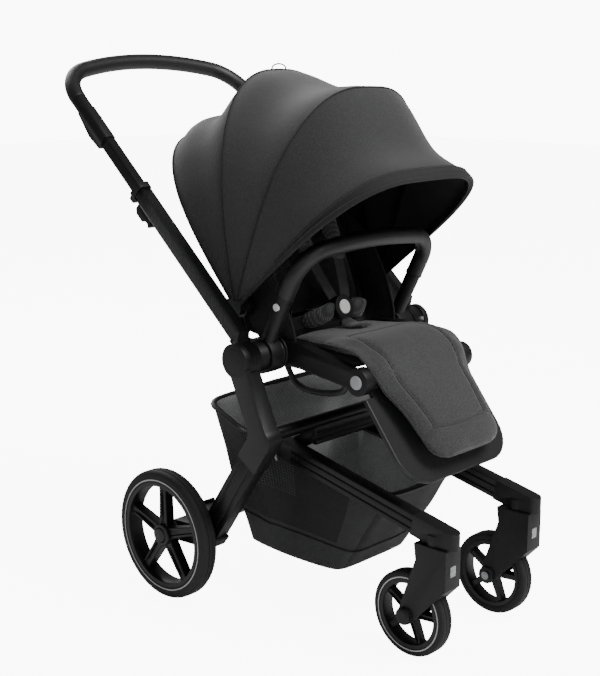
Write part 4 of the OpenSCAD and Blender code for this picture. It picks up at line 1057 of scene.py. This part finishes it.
sides = []
for side in (1, -1):
    flow = [on_seat(side * 82, -205), on_seat(side * 90, -225),
            on_seat(side * 95, -245)] + [over_edge(side * (97 - 3 * k), k) for k in (0, 0.35, 0.7, 1)] + \
           [on_leg(side * (93 - 0.16 * s), s) for s in range(20, 130, 10)] + [on_leg(side * 74, 128)]
    sides.append(onto(liner, flow, 0.0))
cross = onto(liner, [on_leg(x, 128 + 6 * (1 - (x / 74) ** 2)) for x in range(-74, 75, 6)])
corner_lines = [onto(liner, [on_leg(side * (74 + k * 3.6), 128 + k * 1.2) for k in range(0, 8)])
                for side in (1, -1)]
crest = onto(liner, [on_seat(x, -205 + 0.0012 * x * x) for x in range(-82, 83, 6)])
press(liner, [bent(l, 4) for l in sides + [cross, crest] + corner_lines if len(l) > 3], 4.5, 3.2)
smooth(liner.data, 80)
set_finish(liner, "seat_fabric")
piping = []
for index, line in enumerate(sides + [cross, crest] + corner_lines):
    if len(line) > 3:
        path = onto(liner, [(*p, (0, -front[0], -front[1])) if p[2] < 500 else (*p, (0, 0, -1))
                            for p in bent(line, 3)], 0.1)
        if len(path) > 3:
            cord = made(f"liner_piping_{index}", [tube(path, 1.5, 8)], melange_panel)
            piping.append(cord)
edge_line = []
for i in range(6, stations):
    t = i / (stations - 1)
    w = profile_at(widths, t)[0]
    edge_line.append((w, (top_line[i][0] + low_line[i][0]) / 2,
                      (top_line[i][1] * 0.6 + low_line[i][1] * 0.4)))
edge_path = [(x - 1.0, y, z) for x, y, z in edge_line]
edge_path = edge_path + [(-x, y, z) for x, y, z in edge_path[::-1]]
from_side = []
bvh = BVHTree.FromPolygons([v.co for v in liner.data.vertices], [p.vertices for p in liner.data.polygons])
for x, y, z in edge_path:
    hit = bvh.find_nearest(Vector((x * 1.02, y, z)) / 1000)
    from_side.append(tuple(hit[0] * 1000))
for _ in range(6):
    from_side = [from_side[0]] + [tuple((np.array(a) + 2 * np.array(b) + np.array(c)) / 4) for a, b,
                                  c in zip(from_side, from_side[1:], from_side[2:])] + [from_side[-1]]
piping.append(made("liner_edge_piping", [tube(bent(from_side[::2], 3), 2.2, 8)], melange_panel))
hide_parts("seat_pad", "legrest_pad")
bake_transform(liner)
for cord in piping:
    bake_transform(cord)

# backrest: a firm panel across the back bow, with a quilted pad on it and soft side wings, all in cloth
# painted dark as painted shade from the canopy
shell_rows = []
for i in range(27):
    s = 8 + 20 * i if i < 2 else 48 + (386 - 48) * (i - 2) / 24
    half = (128, 134)[i] if i < 2 else 169 if s < 300 else 169 - 60 * (1 - math.sqrt(max(0,
        1 - ((s - 300) / 92) ** 2)))
    shell_rows.append([plane_point(back_foot, back_lean, half * (2 * j / 24 - 1), s, 1.5
                                   + 14 * (1 - (2 * j / 24 - 1) ** 2) * math.sin(math.pi * min(1, i / 24)))
                                   for j in range(25)])
back_cloth = grid_mesh("backrest_cloth", shell_rows, (shadow_cloth,))
thicken(back_cloth, 2.4, 0.0)
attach(back_cloth, "seat")
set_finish(back_cloth, "seat_fabric")

# a soft wing on each side closes the corner between the backrest and the seat
for side in (1, -1):
    back_edge = [np.array(plane_point(back_foot, back_lean, side * (134 + 28 * min(1, s / 60)), s, -2))
                 for s in np.linspace(10, 262, 15)]
    free_edge = bent([(side * 136, -66, 512), (side * 141, -118, 530), (side * 148, -92, 610),
                      (side * 156, -32, 690), (side * 161, 58, 744)], 6)
    rows = []
    for k in range(9):
        u = k / 8
        row = []
        for i in range(15):
            p = back_edge[i] * (1 - u) + np.array(free_edge[round(24 * i / 14)]) * u
            row.append(p + np.array((-side * 7 * math.sin(math.pi * u) * math.sin(math.pi * i / 14), 0, 0)))
        rows.append(row)
    name = "left" if side > 0 else "right"
    wing = grid_mesh("seat_wing_" + name, rows, (shadow_cloth,))
    thicken(wing, 2.0, 0.0)
    smooth(wing.data, 60)
    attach(wing, "seat")
    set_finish(wing, "seat_fabric")
    made("wing_binding_" + name, [tube(free_edge[4:], 2.2, 8)], shadow_cloth, body="seat")

deck = pillow(0, 0, 0, 256, 204, 5, 2.0)
deck = ([(x, z - 0.1557, 0.5035 - y) for x, y, z in deck[0]], deck[1])
deck = made("seat_deck", [deck], shadow_cloth, body="seat")
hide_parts("seat_shell")


def quilt(name, outline, foot, degrees, n0, thick, voxel, cap):
    """a stuffed pad on a tilted plane: outline gives the half width at each share of its length"""
    verts, faces, ring = [], [], 28
    rows = len(outline)
    for s, w in outline:
        for j in range(ring):
            a = 2 * math.pi * j / ring
            c, q = math.cos(a), math.sin(a)
            x = w * math.copysign(abs(c) ** 0.5, c)
            n = n0 - thick / 2 - thick / 2 * math.copysign(abs(q) ** 0.6, q)
            verts.append(tuple(np.array(plane_point(foot, degrees, x, s, n)) / 1000))
    for i in range(rows - 1):
        for j in range(ring):
            a, b = i * ring + j, i * ring + (j + 1) % ring
            faces.append((a, b, b + ring, a + ring))
    faces.append(tuple(range(ring)))
    faces.append(tuple(range((rows - 1) * ring, rows * ring))[::-1])
    pad = made(name, [(verts, faces)], shadow_cloth)
    return swell(pad, voxel, 4.0, cap)


outline = [(54, 104), (60, 122), (75, 131), (110, 134), (180, 135), (250, 134), (300, 130), (330, 118),
           (348, 98), (358, 66)]
back_pad = quilt("backrest_pad", outline, back_foot, back_lean, -5, 26, 5.5, 5)
normal_in = (0, math.sin(math.radians(back_lean)), -math.cos(math.radians(back_lean)))


def on_pad(x, s):
    p = plane_point(back_foot, back_lean, x, s, -60)
    return (*p, normal_in)


lines = [onto(back_pad, [on_pad(side * (92 - 0.00018 * (s - 190) ** 2), s) for s in range(62, 340, 8)])
         for side in (1, -1)]
lines += [onto(back_pad, [on_pad(x, s0 + 0.0008 * x * x) for x in range(-90, 91, 6)])
          for s0 in (130, 205, 280)]
press(back_pad, [bent(l, 4) for l in lines if len(l) > 3], 5.0, 4.0)
smooth(back_pad.data, 80)
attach(back_pad, "seat")
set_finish(back_pad, "seat_fabric")
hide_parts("back_pad")
for index, line in enumerate(lines[:2]):
    made(f"back_piping_{index}", [tube(onto(back_pad, [(*p, normal_in) for p in bent(line, 3)], 0.2,
                                            reach=0.05), 1.4, 8)], melange_panel, body="seat")

# ---------------------------------------------------------------- legrest board
# The legrest is a nylon board in a fitted black cover: thin, wide and round at its foot, with a bound edge.
board_cloth = woven("black_legrest_cover", "#0a0a0b", "#131314", 2.6, 0.85, 0.04, 0.6, 0.0, 0.3, uv=False)
dress("legrest_board", board_cloth, 2.6, 4)
edge = []
for a, b in [(150, 36)] + [(150, s) for s in range(50, 148, 14)] + [(90 + 60 * math.cos(t), 148
    + 60 * math.sin(t)) for t in np.linspace(0, math.pi / 2, 9)] + \
        [(x, 208) for x in range(80, -1, -20)]:
    edge.append((a, *leg_point(b, -5)))
edge = edge + [(-x, y, z) for x, y, z in edge[-2::-1]]
made("legrest_binding", [tube(edge, 4.4, 12, flat=0.62)], leatherette, body="legrest")

# ---------------------------------------------------------------- bumper bar
# A steel arch in foam and sewn leatherette, plugged into nylon arms that turn round the hub barrels.
bumper_foot, bumper_lean = (-87.7, 530), 117
dress("bumper_arms", nylon, 1.4, 3)
line = [plane_point(bumper_foot, bumper_lean, x, s, 0) for x, s in u_line(183, 104, 208, 62, 900)]
bar = made("bumper_wrap", [tube(line, 16, 28, round_ends=False)], leatherette)
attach(bar, "bumper")
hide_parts("bumper_grip")
under = [plane_point(bumper_foot, bumper_lean, x, s, 15.6) for x, s in u_line(183, 112, 208, 62, 900)]
made("bumper_seam", [tube(bent(under[::3], 4), 1.0, 8)], leatherette, body="bumper")
row = stitches("bumper_stitches", [plane_point(bumper_foot, bumper_lean, x, s - 3, 15.2) for x,
                                   s in u_line(183, 116, 208, 62, 900)], 6.5, 4.2, 0.8, thread)
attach(row, "bumper")
cuffs = []
for side in (1, -1):
    cuffs.append(tube([plane_point(bumper_foot, bumper_lean, side * 183, s, 0)
                       for s in (101, 102, 105, 106)], 16.6, 28, round_ends=False))
    cuffs.append(tube([plane_point(bumper_foot, bumper_lean, side * 183, s, -13.2)
                       for s in (60, 64, 68, 72)], lambda t: 2.4 - 1.2 * abs(2 * t - 1), 12))
made("bumper_cuffs", cuffs, nylon, body="bumper")

# ---------------------------------------------------------------- harness
# Five flat straps of woven nylon webbing meet at a round buckle, with grey mesh pads at shoulder and hip.
webbing, tree, shader = blank("woven_nylon_webbing", Roughness=0.7, Sheen_Weight=0.2)
place = add(tree, "ShaderNodeTexCoord")
# ribs run across the strap every 2.4 mm
ribs = add(tree, "ShaderNodeTexWave", {"Vector": place.outputs["UV"], "Scale": 130.0, "Distortion": 0.3},
           bands_direction="Y")
shade = add(tree, "ShaderNodeMix", {"Factor": ribs.outputs["Fac"], "A": linear("#111112"),
                                    "B": linear("#262627")}, data_type="RGBA")
rib_bump = add(tree, "ShaderNodeBump", {"Height": ribs.outputs["Fac"], "Strength": 0.6, "Distance": 0.0008})
tree.links.new(shade.outputs["Result"], shader.inputs["Base Color"])
tree.links.new(rib_bump.outputs["Normal"], shader.inputs["Normal"])
pad_mesh = woven("grey_spacer_mesh", "#1d1d1e", "#58595a", 5.0, 0.9, 0.2, 0.2, 0.0, 0.9, uv=False)


def strap(name, path, across, width, thick, material):
    """a flat strap along a smooth path; across gives its width direction at each end"""
    n = len(path)
    rows = []
    a, b = np.array(across[0], float), np.array(across[1], float)
    for i, p in enumerate(path):
        t = i / (n - 1)
        tangent = np.array(path[min(i + 1, n - 1)]) - np.array(path[max(i - 1, 0)])
        tangent /= np.linalg.norm(tangent)
        w = a * (1 - t) + b * t
        w = w - tangent * w.dot(tangent)
        w /= np.linalg.norm(w)
        lift = np.cross(tangent, w)
        rows.append([np.array(p) + w * width * k + lift * 0.8 * (1 - (2 * k) ** 2)
                     for k in (-0.5, -0.3, -0.1, 0.1, 0.3, 0.5)])
    obj = grid_mesh(name, rows, (material,))
    thicken(obj, thick, 0.0)
    smooth(obj.data, 60)
    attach(obj, "seat")
    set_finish(obj, "webbing")
    return obj


tilt = math.radians(72)
for side in (1, -1):
    name = "left" if side > 0 else "right"
    shoulder = bent([(side * 17, -98, 594), (side * 26, -84, 622), (side * 36, -62, 662),
                     (side * 44, -34, 712), (side * 46, -14, 742),
                     plane_point(back_foot, back_lean, side * 46, 268, -36)], 6)
    strap("shoulder_strap_" + name, shoulder, ((1, 0, 0), (1, 0, 0)), 25, 2.0, webbing)
    sleeve = shoulder[12:28]
    pad = made("shoulder_pad_" + name, [tube([np.array(p) + np.array((0, -1.5, 0.5)) for p in sleeve],
                                             lambda t: 6.5 * (1 - 0.25 * abs(2 * t - 1) ** 3), 20,
                                             flat=3.4)], pad_mesh, body="seat")
    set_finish(pad, "webbing")
    if side > 0:
        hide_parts("harness")
    waist = bent([(side * 20, -102, 572), (side * 40, -103, 568), (side * 64, -97, 561),
                  (side * 88, -80, 554), (side * 108, -58, 547), (side * 122, -36, 543)], 6)
    strap("waist_strap_" + name, waist, ((0, -0.3, 1), (0, -0.3, 1)), 25, 2.0, webbing)
    hip = made("hip_pad_" + name, [tube([np.array(p) + np.array((0, -2.0, 1.0)) for p in waist[2:17]],
                                        lambda t: 20 * (1 - 0.22 * abs(2 * t - 1) ** 5), 20, flat=0.3,
                                        up=(0, -1, -0.2))],
               pad_mesh, body="seat")
    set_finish(hip, "webbing")
    made("waist_slide_" + name, [tube(bent([(side * 96 + x, -60 + y, 559 + z) for x, y, z in ((0, -5, 16),
        (4, -3, 0), (0, -5, -16), (-4, -7, 0))], 4, True), 2.2, 8, closed=True)],
         nylon, body="seat")
crotch = bent([(0, -112, 555), (0, -119, 546), (0, -128, 541), (0, -142, 541), (0, -158, 545),
               (0, -170, 548)], 6)
strap("crotch_strap", crotch, ((1, 0, 0), (1, 0, 0)), 27, 2.4, webbing)
crotch_pad = made("crotch_pad", [tube([np.array(p) + np.array((0, -3, 3)) for p in crotch[5:26]],
                                      lambda t: 21 * (1 - 0.3 * abs(2 * t - 1) ** 4), 24,
                                      flat=0.3, up=(0, -0.3, 1))], melange_panel, body="seat")
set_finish(crotch_pad, "webbing")

# ---------------------------------------------------------------- canopy
# Charcoal melange stretched over four arched bows that fan out from one hinge on each side. Each panel is
# drawn in a little between its bows; the bows carry piped seams and the visor has a thick bound hem.
bows = {40: (388, 212, 3.6), 70: (425, 210, 2.8), 101: (437, 207, 2.6), 127: (405, 206, 3.0)}
hinge = (-21.7, 590)


def bow_value(th, k):
    keys = sorted(bows)
    return float(np.interp(th, keys, [bows[a][k] for a in keys]))


def hood(th, t, under=0.0, foot=196.0, drop=0.0):
    """a point on the hood in mm: th turns from the front, t goes over the arch, under is depth below it"""
    p = 2 / bow_value(th, 2)
    sine, cosine = max(0.0, math.sin(math.radians(t))), math.cos(math.radians(t))
    r = sine ** p
    w1 = bow_value(th, 1) - under
    x = -math.copysign(abs(cosine) ** p, cosine) * (foot + (w1 - foot) * min(1, 1.6 * r))
    reach = (bow_value(th, 0) - under - drop) * r
    return (x, hinge[0] - reach * math.cos(math.radians(th)), hinge[1] + reach * math.sin(math.radians(th)))


def arch(steps):
    """arch angles that crowd towards the two feet"""
    return [90 - 90 * math.copysign(abs(1 - 2 * i / steps) ** 0.8, 1 - 2 * i / steps)
            for i in range(steps + 1)]


canopy_cloth = woven("charcoal_canopy_melange", "#1c1c1d", "#2e2e2f", 2.6, 0.9, 0.45, 0.7, 0.0, 0.3)
canopy_lining = woven("black_canopy_lining", "#0a0a0b", "#131314", 2.6, 0.9, 0.1, 0.5, 0.0, 0.3)
hem_cloth = woven("dark_hem_binding", "#0f0f10", "#1a1a1b", 2.4, 0.85, 0.1, 0.6, 0.0, 0.4, uv=False)
angles = [0.6] + [a for a in arch(72)][1:-1] + [179.4]


def drawn(u, t, dip):
    """how far a panel is pulled in, at u across it and t round the arch"""
    return dip * max(0.0, math.sin(math.pi * u)) ** 1.3 * (0.25 + 0.75 * math.sin(math.radians(t)))


def face_out(cloth):
    """turns a canopy cloth's faces away from the child"""
    bm = bmesh.new()
    bm.from_mesh(cloth.data)
    bm.normal_update()
    middle = Vector((0, hinge[0] / 1000, 0.7))
    if sum((f.calc_center_median() - middle).dot(f.normal) for f in bm.faces) < 0:
        bmesh.ops.reverse_faces(bm, faces=bm.faces)
        bm.to_mesh(cloth.data)
    bm.free()


def panel(name, th0, th1, dip, bow=None):
    """one canopy panel between two bows: cloth outside, lining inside; it may wrap on past its second bow"""
    across = 16
    rows = []
    for k in range(across + 1):
        u = k / across
        th = th0 + (th1 - th0) * u
        row = []
        for t in angles:
            wrinkle = 1.2 * math.sin(math.pi * u) * math.sin(t * 0.35
                + 3 * u) * (1 - math.sin(math.radians(t)))
            row.append(np.array(hood(th, t, 0.0, 200.0, drawn(min(1, (th - th0) / ((bow or th1) - th0)), t,
                dip) + wrinkle)))
        rows.append(row)
    cloth = grid_mesh(name, rows, (canopy_cloth, canopy_lining))
    face_out(cloth)
    size = flat_area(cloth)
    thicken(cloth, 2.0, -1.0, 0, 1)
    smooth(cloth.data, 60)
    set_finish(cloth, "canopy_fabric")
    return cloth, size


def seam(name, th, radius, body, lift=0.6, material=None):
    return made(name, [tube([np.array(hood(th, t, -lift, 201.0)) for t in angles], radius, 10,
                            round_ends=True)], material or hem_cloth, body=body)


front_dip = 38
front_panel, front_area = panel("canopy_front_panel", 40, 70, front_dip)
middle_panel, middle_area = panel("canopy_middle_panel", 70, 101, 30)
rear_panel, rear_area = panel("canopy_rear_panel", 101, 131, 34, 125)
front_seam = seam("canopy_seam_middle", 70, 1.6, "canopy_middle_bow")
top_seam = seam("canopy_seam_top", 101, 1.6, "seat")
rear_seam = seam("canopy_seam_rear", 131, 2.0, "seat")
hem = made("canopy_hem", [tube([np.array(hood(39.6, t, 1.5, 200.0)) for t in angles],
                               lambda t: 5.5 - 2.5 * abs(2 * t - 1) ** 6, 14)],
           hem_cloth, body="canopy_front_bow")
# the visor's edge is bound with a 20 mm band, folded over it and sewn down
band = grid_mesh("canopy_hem_band", [[np.array(hood(th, t, 0.0, 200.0, drawn((th - 40) / 30, t,
    front_dip) - lift)) for t in angles]
                                     for th, lift in ((39.8, 2.0), (40.2, 4.0), (41.2, 4.4), (42.4, 4.2),
                                         (43.0, 3.4), (43.2, 1.2))], (hem_cloth,))
face_out(band)
thicken(band, 1.2, -1.0)
smooth(band.data, 60)
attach(band, "canopy_front_bow")
band_seam = made("canopy_hem_seam", [tube([np.array(hood(42.3, t, 0.0, 200.0, drawn(2.3 / 30, t,
    front_dip) - 4.8)) for t in angles[1:-1]], 0.6, 6)],
                 canopy_cloth, body="canopy_front_bow")
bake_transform(front_panel)
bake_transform(middle_panel)
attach(rear_panel, "seat")
for cloth, size, node, extra in ((front_panel, front_area, "canopy_front_fabric", [hem, band, band_seam]),
                                 (middle_panel, middle_area, "canopy_mid_fabric", [front_seam]),
                                 (rear_panel, rear_area, "canopy_rear", [top_seam, rear_seam])):
    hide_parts(node)

# the back of the hood closes with a curtain from the rear bow to the top of the backrest
curtain_rows = []
top_of_back = [plane_point(back_foot, back_lean, x, s, 14) for x, s in u_line(172, 150, 404, 110, 1600)]
lengths = np.cumsum([0] + [np.linalg.norm(np.array(top_of_back[i + 1]) - np.array(top_of_back[i]))
                           for i in range(len(top_of_back) - 1)])
for k in range(9):
    u = k / 8
    row = []
    for i in range(49):
        t = 12 + 156 * i / 48
        a = np.array(hood(131, t, 2.5, 200.0))
        q = (1 - math.cos(math.pi * i / 48)) / 2 * 0.5 + i / 48 * 0.5
        b = np.array([np.interp(q * lengths[-1], lengths, [p[c] for p in top_of_back[::-1]])
                      for c in range(3)])
        row.append(a * (1 - u) + b * u + np.array((0, 6, -10)) * math.sin(math.pi * u))
    curtain_rows.append(row)
curtain = grid_mesh("canopy_back_curtain", curtain_rows, (canopy_cloth, canopy_lining))
thicken(curtain, 1.6, 0.0, 0, 1)
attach(curtain, "seat")
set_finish(curtain, "canopy_fabric")

# the bows themselves are sprung nylon strips, each on its own layer of the hinge
for node in ("canopy_frame", "canopy_mid", "canopy_front"):
    frame["nodes"][node].data.materials.clear()
    frame["nodes"][node].data.materials.append(nylon)

# a small pull loop of cord stands on top of the hood
crown = np.array(hood(101, 90, -0.5))
loop = bent([crown + np.array((-20, 0, -1)), crown + np.array((-15, 0, 7)), crown + np.array((0, 0, 10.5)),
             crown + np.array((15, 0, 7)), crown + np.array((20, 0, -1))], 6)
made("pull_loop", [tube(loop, 1.5, 8)], hem_cloth, body="seat")

# each finish made here belongs to one of the record's material slots
slots = {"black_casting": [powder_coat], "black_plastic": [nylon], "white_button": [white_button],
         "grey_button": [grey_button],
         "leatherette": [leatherette, thread], "canopy_fabric": [canopy_cloth, hem_cloth],
         "webbing": [webbing, pad_mesh],
         "basket_fabric": [coated, coated_light, net, twill],
         "seat_fabric": [melange, melange_panel, shadow_cloth, board_cloth]}
for piece in bpy.data.objects:
    if piece.type == "MESH" and piece.name not in frame["nodes"] and "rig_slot" not in piece:
        for slot_name, finishes in slots.items():
            if piece.data.materials and piece.data.materials[0] in finishes:
                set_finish(piece, slot_name)
